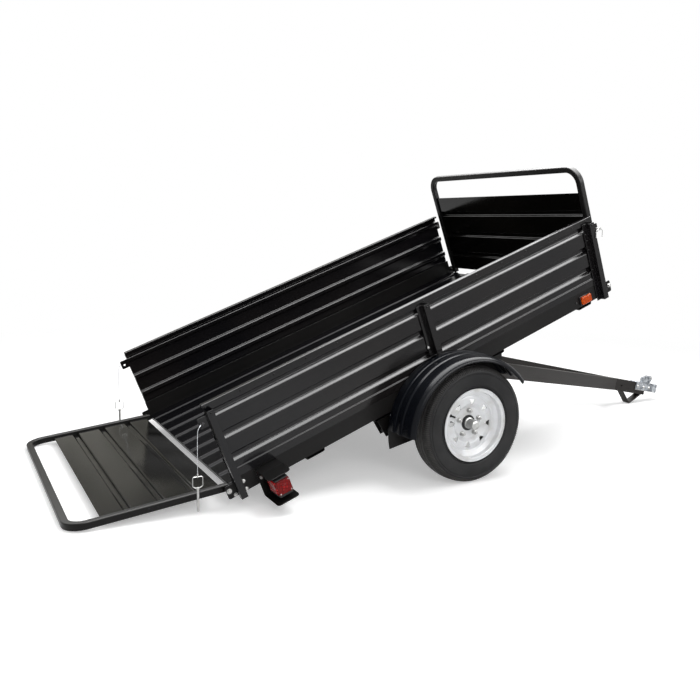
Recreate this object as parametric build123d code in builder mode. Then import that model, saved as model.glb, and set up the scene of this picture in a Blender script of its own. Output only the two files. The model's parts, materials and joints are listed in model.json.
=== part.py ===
"""Utility trailer with a tilting bed, a folding gate at each end and a pivoted tongue.

The trailer stands on its wheels and the foot of its tongue.  The bed is tipped back until the
tongue rails meet their stop bolts, and the ramp gate lies on the ground.  Frame: +X towards the
tongue, +Y to the left, +Z up, origin on the ground under the middle of the whole trailer.
Millimetres and degrees.
"""
from build123d import *
from math import asin, atan2, cos, degrees, hypot, pi, radians, sin, tan
import os

os.makedirs("parts", exist_ok=True)

# Bed: u runs forward from the floor's rear edge, w runs up from the floor's top face
BED_LENGTH = 2136
BED_WIDTH = 1333
WALL_HEIGHT = 385
SHEET = 1.6
PLATE = 3
HALF_BED = BED_WIDTH / 2
END_GAP = 3
BED_TILT = 20.83

# Side walls: three pressed grooves, a step over the side rail and a folded top
GROOVES = ((115, 150), (217, 252), (321, 353))  # bottom, top
GROOVE_DEPTH = 13
GROOVE_LOWER_SLOPE = 12
GROOVE_UPPER_SLOPE = 6
WALL_STEP = 3
WALL_STEP_W = 84
WALL_BOTTOM = 49
WALL_TOP_FOLD = 25
WALL_LIP = 10

# Side rails: angles that the walls lap over
RAIL_TOP = 78
RAIL_BOTTOM = -24
RAIL_LEG = 25
RAIL_FACE = HALF_BED + WALL_STEP - SHEET

# Posts: channel uprights outside the walls; the end posts carry a tab for the gate's pin
POST_WIDTH = 29
POST_DEPTH = 31
POST_FLANGE = 28
POSTS = (  # start, bottom, top, flange behind it, reach of the pin tab
    (8, -36, 362, False, -38),
    (1056, 124, 360, True, 0),
    (2078, -36, 362, True, 38),
)
TAB_BOTTOM = 298
TAB_TOP = 343
TAB_HOLE_W = 318
TAB_HOLE_RADIUS = 5.5
TAB_HOLE_REACH = 0.62

# Floor: sheet with pressed ribs that run forward
RIB_PITCH = 130
RIB_COUNT = 10
RIB_BASE = 44
RIB_TOP = 26
RIB_HEIGHT = 8
FLOOR_JOINT = 1068

# Cross-members: channels under the floor, open upwards
CHANNEL_WIDTH = 93
CHANNEL_DEPTH = 47
CHANNEL_RADIUS = 10
CHANNELS = (380, 735, 1400, 1990)
CHANNEL_BOTTOM = -SHEET - CHANNEL_DEPTH

# Running gear
AXLE_U = 1065
AXLE_W = -207
AXLE_BEAM = 38
TYRE_RADIUS = 266.5
TYRE_WIDTH = 122
TRACK = 1534
RIM_RADIUS = 166.5
BEAD_RADIUS = 152.4
STUD_CIRCLE = 114.3
WINDOWS = 8
WINDOW_CIRCLE = 100
WINDOW_CORNER = 18
WINDOW_TURN = -4
CAP_RADIUS = 22
CAP_END = 64
SPRING_HALF = 330
SPRING_EYE_W = -115
SPRING_Y = 615
SPRING_WIDTH = 45
LEAF = 7
CLAMP_PLATE = 6
SPINDLE_RADIUS = 12.7
RUNNING_GAP = 0.08

# Fenders
FENDER_RADIUS = 345
FENDER_U = 1040
FENDER_W = -228
FENDER_INNER = 673
FENDER_OUTER = 860
FENDER_START = 18.5
FENDER_END = 157
FENDER_WEB_START = 12
FENDER_WEB_END = 172
FENDER_WEB_RADIUS = 215

# Tail lamps under folded guards: a back plate, a hood above and a lip below
GUARD_START = 106
GUARD_END = 206
GUARD_BOTTOM = -83
GUARD_TOP = 42
GUARD_REACH = 142
GUARD_HOOD_BEND = 72
GUARD_HOOD_DROP = 7
LAMP_START = 130
LAMP_END = 190
LAMP_BOTTOM = -66
LAMP_TOP = 14
LAMP_BACK = 32
LAMP_FACE = 132

# Gates: bent tube round a ribbed panel, x runs from the hinge to the far tube
GATE_REACH = 624
GATE_WIDTH = 1272
GATE_TUBE = 16
GATE_TUBE_WALL = 1.8
GATE_BEND = 74
GATE_TAIL = 10
GATE_PANEL_START = 16
GATE_PANEL_END = 486
GATE_PANEL_Z = 5
GATE_CHANNELS = (118, 250, 382)
GATE_CHANNEL_WIDTH = 30
GATE_CHANNEL_DEPTH = 10
REAR_HINGE_U = -22
FRONT_HINGE_U = 2146
HINGE_W = 12
HINGE_CLEAR = 24
HINGE_PIN = 5
PIN_GAP = 0.1

# Tongue: x runs forward from its pivot, z up square to the rails
PIVOT_U = 1407.5
PIVOT_W = -141
TONGUE_DEPTH = 76
TONGUE_THICK = 38
TONGUE_WALL = 2.5
TONGUE_SPREAD = 569
TONGUE_ANGLE = 19.87
TONGUE_TAIL = 32
STUB_START = 1390
STUB_END = 1786
STUB_WIDTH = 50
COUPLER_START = 1690
COUPLER_END = 1910
COUPLER_NOSE = 33
COUPLER_HALF = 28.5
COUPLER_BOTTOM = -12
COUPLER_TOP = 43
BALL_RADIUS = 25.4
BALL_GAP = 0.6
CHAIN_HOLE_X = 1560
CHAIN_HOLE_Z = 0
CHAIN_HOLE_RADIUS = 6.5
FOOT_BACK = (1572, -24)
FOOT_LOW = (1668, -112)
FOOT_FRONT = (1776, -24)
FOOT_BEND = 14
FOOT_BAR = 6

# Stop bolts that end the tongue's swing, measured from its pivot
STOP_BACK = 51
STOP_DOWN = 1
STOP_RADIUS = 5

# Gate pins: straight pins with a wire bail; the rear ones hang on wire lanyards
LOCK_PIN_RADIUS = 5
LOCK_PIN_LENGTH = 90
SEATED_PIN_LENGTH = 40
SEATED_PIN_HEAD_Y = 706
PIN_HEAD_RADIUS = 7
PIN_HEAD = 6
BAIL_WIDTH = 40
BAIL_HEIGHT = 46
BAIL_LEG = 8
BAIL_BEND = 6
BAIL_WIRE = 1.6
CRIMP_RADIUS = 3.2
CRIMP_LENGTH = 14
WIRE_RADIUS = 1.2
RIVET_U = -26
RIVET_W = 322
RIVET_RADIUS = 3.5
RIVET_HEIGHT = 4
LANYARD = (  # forward, outward and up from the rivet's face
    (0, 0, 0),
    (0, 9, 0),
    (-7, 15, -5),
    (-14, 16, -14),
    (-18, 15, -30),
    (-19, 14, -180),
    (-19, 14, -192),
)
BEND_SHARE = 0.45
CORD_NODES = ("lanyard_rear_left", "lanyard_rear_right", "pin_rear_left", "pin_rear_right")

AXLE_X = -230.2


def upright(x, z, pitch):
    """Frame at a point on the trailer's middle plane, its x axis raised by pitch."""
    up = radians(pitch)
    return Plane(origin=(x, 0, z), x_dir=(cos(up), 0, sin(up)), z_dir=(-sin(up), 0, cos(up)))


def bed_point(u, w):
    """Place of a bed point in the trailer's frame: x and z."""
    tilt = radians(BED_TILT)
    forward = (u - AXLE_U) * cos(tilt) - (w - AXLE_W) * sin(tilt)
    rise = (u - AXLE_U) * sin(tilt) + (w - AXLE_W) * cos(tilt)
    return AXLE_X + forward, TYRE_RADIUS + rise


BED = upright(*bed_point(0, 0), BED_TILT)

# The ramp gate drops until its far tube lies on the ground
rear_hinge_x, rear_hinge_z = bed_point(REAR_HINGE_U, HINGE_W)
RAMP_SLOPE = degrees(asin((rear_hinge_z - GATE_TUBE) / (GATE_REACH - GATE_TUBE)))
ramp = radians(RAMP_SLOPE)
REAR_GATE = Plane(
    origin=(rear_hinge_x, 0, rear_hinge_z),
    x_dir=(-cos(ramp), 0, -sin(ramp)),
    z_dir=(-sin(ramp), 0, cos(ramp)),
)
front_hinge_x, front_hinge_z = bed_point(FRONT_HINGE_U, HINGE_W)
FRONT_GATE = Plane(origin=(front_hinge_x, 0, front_hinge_z), x_dir=BED.z_dir, z_dir=-BED.x_dir)

# The tongue swings down until the bend of its foot lies on the ground
pivot_x, pivot_z = bed_point(PIVOT_U, PIVOT_W)
foot_centre_z = FOOT_LOW[1] + FOOT_BEND
foot_arm = hypot(FOOT_LOW[0], foot_centre_z)
foot_angle = asin((FOOT_BEND - pivot_z) / foot_arm)
TONGUE_PITCH = degrees(foot_angle - atan2(foot_centre_z, FOOT_LOW[0]))
TONGUE = upright(pivot_x, pivot_z, TONGUE_PITCH)


def keep(piece, name, frame):
    """Set a finished piece in its frame, label it and write its file."""
    placed = piece.moved(frame.location)
    placed.label = name
    export_step(placed, f"parts/{name}.step")
    return placed


def keep_pair(piece, name, frame):
    """Keep a left-hand piece and its mirror image on the right."""
    keep(piece, f"{name}_left", frame)
    keep(mirror(piece, about=Plane.XZ, mode=Mode.PRIVATE), f"{name}_right", frame)


# --- Floor -------------------------------------------------------------------
def floor_outline():
    """Ribbed section across the floor: the top face and, back again, the under face."""
    edge = HALF_BED - 4
    top = [(-edge, 0)]
    for number in range(RIB_COUNT):
        middle = (number - (RIB_COUNT - 1) / 2) * RIB_PITCH
        top += [(middle - RIB_BASE / 2, 0), (middle - RIB_TOP / 2, RIB_HEIGHT)]
        top += [(middle + RIB_TOP / 2, RIB_HEIGHT), (middle + RIB_BASE / 2, 0)]
    top.append((edge, 0))
    return top + [(y, w - SHEET) for y, w in reversed(top)]


FLOOR_END = FRONT_HINGE_U - HINGE_CLEAR
FLOOR_PANELS = (  # name, start, end
    ("floor_rear", END_GAP, FLOOR_JOINT),
    ("floor_front", FLOOR_JOINT + 0.5, FLOOR_END),
)
for name, start, end in FLOOR_PANELS:
    with BuildPart() as floor:
        with BuildSketch(Plane.YZ.offset(start)):
            with BuildLine():
                Polyline(*floor_outline(), close=True)
            make_face()
        extrude(amount=end - start)
    keep(floor.part, name, BED)

# --- Side walls --------------------------------------------------------------
def wall_outline():
    """Section of a wall: the outer face upwards, the top fold, then the inner face downwards."""
    outer = [(HALF_BED + WALL_STEP, WALL_BOTTOM), (HALF_BED + WALL_STEP, WALL_STEP_W - 2)]
    outer.append((HALF_BED, WALL_STEP_W + 2))
    for bottom, top in GROOVES:
        outer += [(HALF_BED, bottom), (HALF_BED - GROOVE_DEPTH, bottom + GROOVE_LOWER_SLOPE)]
        outer += [(HALF_BED - GROOVE_DEPTH, top - GROOVE_UPPER_SLOPE), (HALF_BED, top)]
    inner = [(y - SHEET, w) for y, w in reversed(outer)]
    fold = HALF_BED - WALL_TOP_FOLD
    over = [(HALF_BED, WALL_HEIGHT), (fold, WALL_HEIGHT), (fold, WALL_HEIGHT - WALL_LIP)]
    under = [(fold + SHEET, WALL_HEIGHT - WALL_LIP), (fold + SHEET, WALL_HEIGHT - SHEET)]
    under.append((HALF_BED - SHEET, WALL_HEIGHT - SHEET))
    return outer + over + under + inner


WALL_PANELS = (  # name, start, end
    ("wall_rear", 6, POSTS[1][0] + POST_WIDTH / 2),
    ("wall_front", POSTS[1][0] + POST_WIDTH / 2 + 0.5, FLOOR_END),
)
for name, start, end in WALL_PANELS:
    with BuildPart() as wall:
        with BuildSketch(Plane.YZ.offset(start)):
            with BuildLine():
                Polyline(*wall_outline(), close=True)
            make_face()
        extrude(amount=end - start)
    keep_pair(wall.part, name, BED)

# --- Side rails and end sills ------------------------------------------------
with BuildPart() as rail:
    with BuildSketch(Plane.YZ.offset(END_GAP)):
        with Locations((RAIL_FACE - PLATE / 2, (RAIL_TOP + RAIL_BOTTOM) / 2)):
            Rectangle(PLATE, RAIL_TOP - RAIL_BOTTOM)
        with Locations((RAIL_FACE - RAIL_LEG / 2, RAIL_BOTTOM + PLATE / 2)):
            Rectangle(RAIL_LEG, PLATE)
    extrude(amount=BED_LENGTH - 2 * END_GAP)
keep_pair(rail.part, "side_rail", BED)

SILL_HALF = RAIL_FACE - PLATE
SILL_DEPTH = abs(RAIL_BOTTOM) - PLATE - SHEET
SILLS = (  # name, outer face, direction inwards
    ("rear_sill", END_GAP, 1),
    ("front_sill", FLOOR_END, -1),
)
for name, face, inwards in SILLS:
    with BuildPart() as sill:
        with BuildSketch(Plane.XZ.offset(-SILL_HALF)):
            with Locations((face + inwards * PLATE / 2, -SHEET - SILL_DEPTH / 2)):
                Rectangle(PLATE, SILL_DEPTH)
            with Locations((face + inwards * 20, -SHEET - PLATE / 2)):
                Rectangle(40, PLATE)
        extrude(amount=2 * SILL_HALF)
    keep(sill.part, name, BED)

# --- Cross-members -----------------------------------------------------------
channel_half = RAIL_FACE - RAIL_LEG
with BuildPart() as channels:
    for middle in CHANNELS:
        with BuildSketch(Plane.XZ.offset(-channel_half)) as section:
            with Locations((middle, -SHEET - CHANNEL_DEPTH / 2)):
                Rectangle(CHANNEL_WIDTH, CHANNEL_DEPTH)
            fillet(section.vertices().group_by(Axis.Y)[0], CHANNEL_RADIUS)
            with Locations((middle, -SHEET - CHANNEL_DEPTH / 2 + PLATE)):
                Rectangle(CHANNEL_WIDTH - 2 * PLATE, CHANNEL_DEPTH, mode=Mode.SUBTRACT)
        extrude(amount=2 * channel_half)
keep(channels.part, "crossmembers", BED)

# --- Posts -------------------------------------------------------------------
TAB_FACE = HALF_BED + WALL_STEP + PLATE
with BuildPart() as posts:
    inner = HALF_BED + WALL_STEP
    outer = HALF_BED + POST_DEPTH
    for start, bottom, top, flanged, tab in POSTS:
        middle = start + POST_WIDTH / 2
        with BuildSketch(Plane.XY.offset(bottom)):
            with Locations((middle, outer - PLATE / 2)):
                Rectangle(POST_WIDTH, PLATE)
            for side in (start + PLATE / 2, start + POST_WIDTH - PLATE / 2):
                with Locations((side, (inner + outer) / 2)):
                    Rectangle(PLATE, outer - inner)
            if flanged:
                with Locations((start - POST_FLANGE / 2 + PLATE, inner + PLATE / 2)):
                    Rectangle(POST_FLANGE, PLATE)
        extrude(amount=top - bottom)
        if tab:
            edge = middle + (POST_WIDTH / 2) * (1 if tab > 0 else -1)
            with BuildSketch(Plane.XZ.offset(-TAB_FACE)) as plate:
                with Locations((edge + tab / 2, (TAB_BOTTOM + TAB_TOP) / 2)):
                    Rectangle(abs(tab) + 2 * PLATE, TAB_TOP - TAB_BOTTOM)
                fillet(plate.vertices(), 6)
                with Locations((edge + tab * TAB_HOLE_REACH, TAB_HOLE_W)):
                    Circle(TAB_HOLE_RADIUS, mode=Mode.SUBTRACT)
            extrude(amount=PLATE)
            with Locations((middle, RAIL_FACE + PLATE / 2, 0)):
                Box(POST_WIDTH + 60, PLATE, 90, mode=Mode.SUBTRACT)
    with BuildSketch(Plane.XZ.offset(-(TAB_FACE + RIVET_HEIGHT))):
        with Locations((RIVET_U, RIVET_W)):
            Circle(RIVET_RADIUS)
    extrude(amount=RIVET_HEIGHT + 1)
keep_pair(posts.part, "posts", BED)

# --- Hinge plates with the gates' hinge bolts ---------------------------------
HINGE_PLATES = (  # hinge, far end
    (REAR_HINGE_U, 58),
    (FRONT_HINGE_U, BED_LENGTH - 70),
)
with BuildPart() as hinges:
    for hinge, far in HINGE_PLATES:
        outward = 1 if hinge > far else -1
        edge = hinge + outward * 12
        with BuildSketch(Plane.XZ.offset(-(RAIL_FACE + PLATE))) as plate:
            with Locations(((edge + far) / 2, 6)):
                Rectangle(abs(edge - far), 58)
            fillet(plate.vertices(), 8)
        extrude(amount=PLATE)
        with BuildSketch(Plane.XZ.offset(-RAIL_FACE)):
            with Locations((hinge, HINGE_W)):
                Circle(9)
        extrude(amount=RAIL_FACE - GATE_WIDTH / 2 - 1)
        with BuildSketch(Plane.XZ.offset(-(RAIL_FACE + PLATE + 6))):
            with Locations((hinge, HINGE_W)):
                Circle(HINGE_PIN)
        extrude(amount=RAIL_FACE + PLATE + 6 - GATE_WIDTH / 2 + 2 * GATE_TUBE + 4)
keep_pair(hinges.part, "hinge_brackets", BED)

# --- Springs, hangers and axle -----------------------------------------------
arch = AXLE_W + AXLE_BEAM / 2 + 3 * LEAF
with BuildPart() as spring:
    for leaf, reach in enumerate((SPRING_HALF, SPRING_HALF * 0.68, SPRING_HALF * 0.4)):
        sag = (SPRING_EYE_W - arch) * (reach / SPRING_HALF) ** 2
        low = arch - leaf * LEAF
        with BuildSketch(Plane.XZ.offset(-(SPRING_Y + SPRING_WIDTH / 2))):
            with BuildLine():
                ThreePointArc((AXLE_U - reach, low + sag), (AXLE_U, low), (AXLE_U + reach, low + sag))
                Line((AXLE_U + reach, low + sag), (AXLE_U + reach, low + sag - LEAF))
                ThreePointArc(
                    (AXLE_U + reach, low + sag - LEAF), (AXLE_U, low - LEAF), (AXLE_U - reach, low + sag - LEAF)
                )
                Line((AXLE_U - reach, low + sag - LEAF), (AXLE_U - reach, low + sag))
            make_face()
            if leaf == 0:
                with Locations((AXLE_U - SPRING_HALF, SPRING_EYE_W), (AXLE_U + SPRING_HALF, SPRING_EYE_W)):
                    Circle(15)
        extrude(amount=SPRING_WIDTH)
keep_pair(spring.part, "spring", BED)

with BuildPart() as hangers:
    for middle in (AXLE_U - SPRING_HALF, AXLE_U + SPRING_HALF):
        for face in (SPRING_Y - SPRING_WIDTH / 2 - 1, SPRING_Y + SPRING_WIDTH / 2 + 1 + PLATE):
            with BuildSketch(Plane.XZ.offset(-face)):
                with BuildLine():
                    Polyline(
                        (middle - 34, CHANNEL_BOTTOM),
                        (middle + 34, CHANNEL_BOTTOM),
                        (middle + 17, SPRING_EYE_W - 20),
                        (middle - 17, SPRING_EYE_W - 20),
                        close=True,
                    )
                make_face()
            extrude(amount=PLATE)
        with Locations((middle, SPRING_Y, CHANNEL_BOTTOM - PLATE / 2)):
            Box(68, SPRING_WIDTH + 2 + 2 * PLATE, PLATE)
keep_pair(hangers.part, "hangers", BED)

HUB_INNER = TRACK / 2 - 52
with BuildPart() as axle:
    with Locations((AXLE_U, 0, AXLE_W)):
        Box(AXLE_BEAM, 2 * (HUB_INNER - 6), AXLE_BEAM)
        with Locations(Rotation(90, 0, 0)):
            Cylinder(SPINDLE_RADIUS, TRACK + 20)
    for side in (1, -1):
        with Locations((AXLE_U, side * SPRING_Y, AXLE_W - AXLE_BEAM / 2 - CLAMP_PLATE / 2)):
            Box(66, 74, CLAMP_PLATE)
        with Locations((AXLE_U, side * SPRING_Y, arch + 1 + CLAMP_PLATE / 2)):
            Box(66, 74, CLAMP_PLATE)
        with BuildSketch(Plane.XY.offset(AXLE_W - AXLE_BEAM / 2 - 16)):
            with Locations((AXLE_U, side * SPRING_Y)):
                with GridLocations(50, 58, 2, 2):
                    Circle(5)
        extrude(amount=AXLE_BEAM + 3 * LEAF + CLAMP_PLATE + 26)
keep(axle.part, "axle", BED)

# --- Pivot brackets for the tongue --------------------------------------------
pivot_mid = TONGUE_SPREAD - TONGUE_THICK / 2 / cos(radians(TONGUE_ANGLE))
with BuildPart() as brackets:
    for face in (pivot_mid - 34, pivot_mid + 34 + PLATE):
        with BuildSketch(Plane.XZ.offset(-face)) as ear:
            with Locations((PIVOT_U, (PIVOT_W - 18 + CHANNEL_BOTTOM) / 2)):
                Rectangle(50, CHANNEL_BOTTOM - PIVOT_W + 18)
            fillet(ear.vertices().group_by(Axis.Y)[0], 18)
            with Locations((PIVOT_U - STOP_BACK, PIVOT_W - STOP_DOWN)):
                Circle(2 * STOP_RADIUS)
            with Locations((PIVOT_U - STOP_BACK / 2, PIVOT_W - STOP_DOWN)):
                Rectangle(STOP_BACK, 4 * STOP_RADIUS)
        extrude(amount=PLATE)
    with Locations((PIVOT_U, pivot_mid, PIVOT_W)):
        with Locations(Rotation(90, 0, 0)):
            Cylinder(HINGE_PIN + 1, 68 + 2 * PLATE)
    with Locations((PIVOT_U - STOP_BACK, pivot_mid, PIVOT_W - STOP_DOWN)):
        with Locations(Rotation(90, 0, 0)):
            Cylinder(STOP_RADIUS, 68 + 2 * PLATE)
    with Locations((PIVOT_U, pivot_mid, CHANNEL_BOTTOM - PLATE / 2)):
        Box(50, 68 + 2 * PLATE, PLATE)
    mirror(about=Plane.XZ)
keep(brackets.part, "pivot_brackets", BED)

# --- Fenders -----------------------------------------------------------------
ridge = [(FENDER_RADIUS, 700), (FENDER_RADIUS + 6, 706), (FENDER_RADIUS + 6, 726), (FENDER_RADIUS, 732)]
ridge += [(FENDER_RADIUS, 752), (FENDER_RADIUS + 6, 758), (FENDER_RADIUS + 6, 778), (FENDER_RADIUS, 784)]
shell = [(FENDER_RADIUS, FENDER_INNER)] + ridge
shell += [(FENDER_RADIUS, 835), (FENDER_RADIUS - 8, 854), (FENDER_RADIUS - 24, FENDER_OUTER)]
under = [(radius - 2, y - 1) for radius, y in reversed(shell[1:])] + [(FENDER_RADIUS - 2, FENDER_INNER)]
web = [(FENDER_WEB_RADIUS, FENDER_INNER), (FENDER_RADIUS, FENDER_INNER)]
web += [(FENDER_RADIUS, FENDER_INNER + 2), (FENDER_WEB_RADIUS, FENDER_INNER + 2)]
STRIPS = (  # section of radius and y, start, end
    (shell + under, FENDER_START, FENDER_END),
    (web, FENDER_WEB_START, FENDER_WEB_END),
)
with BuildPart() as fender:
    for section, start, end in STRIPS:
        opening = Plane(origin=(FENDER_U, 0, FENDER_W)).rotated((0, -start, 0))
        with BuildSketch(opening):
            with BuildLine():
                Polyline(*section, close=True)
            make_face()
        revolve(axis=Axis((FENDER_U, 0, FENDER_W), (0, -1, 0)), revolution_arc=end - start)
keep_pair(fender.part, "fender", BED)

# --- Tail lamps and side markers -----------------------------------------------
guard_face = RAIL_FACE
with BuildPart() as guard:
    with BuildSketch(Plane.YZ.offset(GUARD_START)):
        with BuildLine():
            Polyline(
                (guard_face, GUARD_BOTTOM),
                (guard_face + GUARD_REACH, GUARD_BOTTOM),
                (guard_face + GUARD_REACH, GUARD_BOTTOM + PLATE),
                (guard_face + PLATE, GUARD_BOTTOM + PLATE),
                (guard_face + PLATE, GUARD_TOP - PLATE),
                (guard_face + GUARD_HOOD_BEND, GUARD_TOP - PLATE),
                (guard_face + GUARD_REACH, GUARD_TOP - GUARD_HOOD_DROP - PLATE),
                (guard_face + GUARD_REACH, GUARD_TOP - GUARD_HOOD_DROP),
                (guard_face + GUARD_HOOD_BEND, GUARD_TOP),
                (guard_face, GUARD_TOP),
                close=True,
            )
        make_face()
    extrude(amount=GUARD_END - GUARD_START)
keep_pair(guard.part, "lamp_guard", BED)

with BuildPart() as lamp:
    lamp_middle = guard_face + (LAMP_BACK + LAMP_FACE) / 2
    with Locations(((LAMP_START + LAMP_END) / 2, lamp_middle, (LAMP_TOP + LAMP_BOTTOM) / 2)):
        Box(LAMP_END - LAMP_START, LAMP_FACE - LAMP_BACK, LAMP_TOP - LAMP_BOTTOM)
    fillet(lamp.edges().filter_by(Axis.Z), 5)
    with BuildSketch(Plane.XZ.offset(-(guard_face + LAMP_BACK))):
        with Locations(((LAMP_START + LAMP_END) / 2, (LAMP_TOP + LAMP_BOTTOM) / 2)):
            Circle(14)
    extrude(amount=LAMP_BACK - PLATE)
keep_pair(lamp.part, "tail_lamp", BED)

with BuildPart() as marker:
    with Locations((1977, RAIL_FACE + 9, 6)):
        Box(72, 18, 46)
    fillet(marker.edges().filter_by(Axis.Y), 4)
keep_pair(marker.part, "side_marker", BED)

# --- Gates -------------------------------------------------------------------
def gate_panel_outline():
    """Section of a gate panel along its reach: upper face, then the lower face back again."""
    upper = [(GATE_PANEL_START, 0)]
    for middle in GATE_CHANNELS:
        half = GATE_CHANNEL_WIDTH / 2
        upper += [(middle - half, 0), (middle - half + 6, -GATE_CHANNEL_DEPTH)]
        upper += [(middle + half - 6, -GATE_CHANNEL_DEPTH), (middle + half, 0)]
    upper.append((GATE_PANEL_END, 0))
    upper = [(x, z + GATE_PANEL_Z) for x, z in upper]
    return upper + [(x, z - SHEET) for x, z in reversed(upper)]


tube_y = GATE_WIDTH / 2 - GATE_TUBE
far_x = GATE_REACH - GATE_TUBE
GATES = (  # name, frame
    ("rear_gate", REAR_GATE),
    ("front_gate", FRONT_GATE),
)
for name, frame in GATES:
    with BuildPart() as gate_frame:
        with BuildLine() as run:
            FilletPolyline(
                (-GATE_TAIL, -tube_y, 0),
                (far_x, -tube_y, 0),
                (far_x, tube_y, 0),
                (-GATE_TAIL, tube_y, 0),
                radius=GATE_BEND,
            )
        with BuildSketch(Plane(origin=(-GATE_TAIL, -tube_y, 0), z_dir=(1, 0, 0))):
            Circle(GATE_TUBE)
            Circle(GATE_TUBE - GATE_TUBE_WALL, mode=Mode.SUBTRACT)
        sweep(path=run.wire())
        with Locations(Rotation(90, 0, 0)):
            Cylinder(HINGE_PIN + PIN_GAP, GATE_WIDTH + 10, mode=Mode.SUBTRACT)
    keep(gate_frame.part, f"{name}_frame", frame)

    with BuildPart() as panel:
        with BuildSketch(Plane.XZ.offset(-(tube_y - GATE_TUBE + 1))):
            with BuildLine():
                Polyline(*gate_panel_outline(), close=True)
            make_face()
        extrude(amount=2 * (tube_y - GATE_TUBE + 1))
    keep(panel.part, f"{name}_panel", frame)

# --- Wheels ------------------------------------------------------------------
WHEEL = Plane(origin=(AXLE_X, TRACK / 2, TYRE_RADIUS))
half_width = TYRE_WIDTH / 2
with BuildPart() as tyre:
    with BuildSketch(Plane.YZ):
        with BuildLine():
            ThreePointArc((-46, TYRE_RADIUS - 6), (0, TYRE_RADIUS), (46, TYRE_RADIUS - 6))
            ThreePointArc((46, TYRE_RADIUS - 6), (half_width, 215), (50, BEAD_RADIUS + 16))
            Line((50, BEAD_RADIUS + 16), (50, BEAD_RADIUS + 1))
            Line((50, BEAD_RADIUS + 1), (38, BEAD_RADIUS + 1))
            Line((38, BEAD_RADIUS + 1), (42, BEAD_RADIUS + 20))
            ThreePointArc((42, BEAD_RADIUS + 20), (half_width - 8, 215), (38, TYRE_RADIUS - 18))
            Line((38, TYRE_RADIUS - 18), (-38, TYRE_RADIUS - 18))
            ThreePointArc((-38, TYRE_RADIUS - 18), (-half_width + 8, 215), (-42, BEAD_RADIUS + 20))
            Line((-42, BEAD_RADIUS + 20), (-38, BEAD_RADIUS + 1))
            Line((-38, BEAD_RADIUS + 1), (-50, BEAD_RADIUS + 1))
            Line((-50, BEAD_RADIUS + 1), (-50, BEAD_RADIUS + 16))
            ThreePointArc((-50, BEAD_RADIUS + 16), (-half_width, 215), (-46, TYRE_RADIUS - 6))
        make_face()
    revolve(axis=Axis.Y)

RIM_OUTER_Y = 59.5
with BuildPart() as rim:
    with BuildSketch(Plane.YZ):
        with BuildLine():
            Polyline(
                (RIM_OUTER_Y, RIM_RADIUS),
                (51, RIM_RADIUS),
                (51, BEAD_RADIUS),
                (28, BEAD_RADIUS),
                (18, 132),
                (-18, 132),
                (-28, BEAD_RADIUS),
                (-51, BEAD_RADIUS),
                (-51, RIM_RADIUS),
                (-RIM_OUTER_Y, RIM_RADIUS),
                (-RIM_OUTER_Y, RIM_RADIUS - 3),
                (-54, RIM_RADIUS - 3),
                (-54, BEAD_RADIUS - 3),
                (-30, BEAD_RADIUS - 3),
                (-20, 129),
                (20, 129),
                (30, BEAD_RADIUS - 3),
                (54, BEAD_RADIUS - 3),
                (54, RIM_RADIUS - 3),
                (RIM_OUTER_Y, RIM_RADIUS - 3),
                close=True,
            )
        make_face()
        with BuildLine():
            Polyline(
                (4, 36), (4, 72), (20, 92), (14, 130), (10.5, 130), (16, 91), (0.5, 73), (0.5, 36), close=True
            )
        make_face()
    revolve(axis=Axis.Y)
    with BuildSketch(Plane.XZ.offset(-30)):
        with PolarLocations(STUD_CIRCLE / 2, 5, start_angle=90):
            Circle(7)
        with PolarLocations(WINDOW_CIRCLE, WINDOWS, start_angle=WINDOW_TURN):
            RegularPolygon(WINDOW_CORNER, 3, rotation=180)
    extrude(amount=40, mode=Mode.SUBTRACT)

with BuildPart() as hub:
    with BuildSketch(Plane.YZ):
        with BuildLine():
            Polyline(
                (-48, SPINDLE_RADIUS + RUNNING_GAP),
                (-48, 27),
                (-6, 29),
                (-6, 70),
                (0.5, 70),
                (0.5, 35),
                (8, 35),
                (8, CAP_RADIUS + 3),
                (16, CAP_RADIUS + 3),
                (16, CAP_RADIUS),
                (CAP_END - 4, CAP_RADIUS),
                (CAP_END, CAP_RADIUS - 4),
                (CAP_END, 0),
                (34, 0),
                (34, SPINDLE_RADIUS + RUNNING_GAP),
                close=True,
            )
        make_face()
    revolve(axis=Axis.Y)
    with BuildSketch(Plane.XZ.offset(6)):
        with PolarLocations(STUD_CIRCLE / 2, 5, start_angle=90):
            Circle(6)
    extrude(amount=-30)

for wheel_piece, name in ((tyre.part, "tyre"), (rim.part, "rim"), (hub.part, "hub")):
    left = wheel_piece.moved(WHEEL.location)
    keep(left, f"{name}_left", Plane.XY)
    keep(mirror(left, about=Plane.XZ, mode=Mode.PRIVATE), f"{name}_right", Plane.XY)

# --- Tongue ------------------------------------------------------------------
spread = radians(TONGUE_ANGLE)
rail_plane = Plane(
    origin=(0, TONGUE_SPREAD - TONGUE_THICK / 2 / cos(spread), 0),
    x_dir=(sin(spread), cos(spread), 0),
    z_dir=(cos(spread), -sin(spread), 0),
)
rail_run = (STUB_START + 110) / cos(spread)
with BuildPart() as tongue_rail:
    with BuildSketch(rail_plane.offset(-TONGUE_TAIL)):
        Rectangle(TONGUE_THICK, TONGUE_DEPTH)
        Rectangle(TONGUE_THICK - 2 * TONGUE_WALL, TONGUE_DEPTH - 2 * TONGUE_WALL, mode=Mode.SUBTRACT)
    extrude(amount=rail_run + TONGUE_TAIL)
    with Locations(Rotation(90, 0, 0)):
        Cylinder(HINGE_PIN + 1 + PIN_GAP, 2 * TONGUE_SPREAD + 200, mode=Mode.SUBTRACT)
    with Locations((STUB_START + 60, (STUB_WIDTH - 100) / 2, 0)):
        Box(600, 100, 200, mode=Mode.SUBTRACT)
keep_pair(tongue_rail.part, "tongue_rail", TONGUE)

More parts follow.
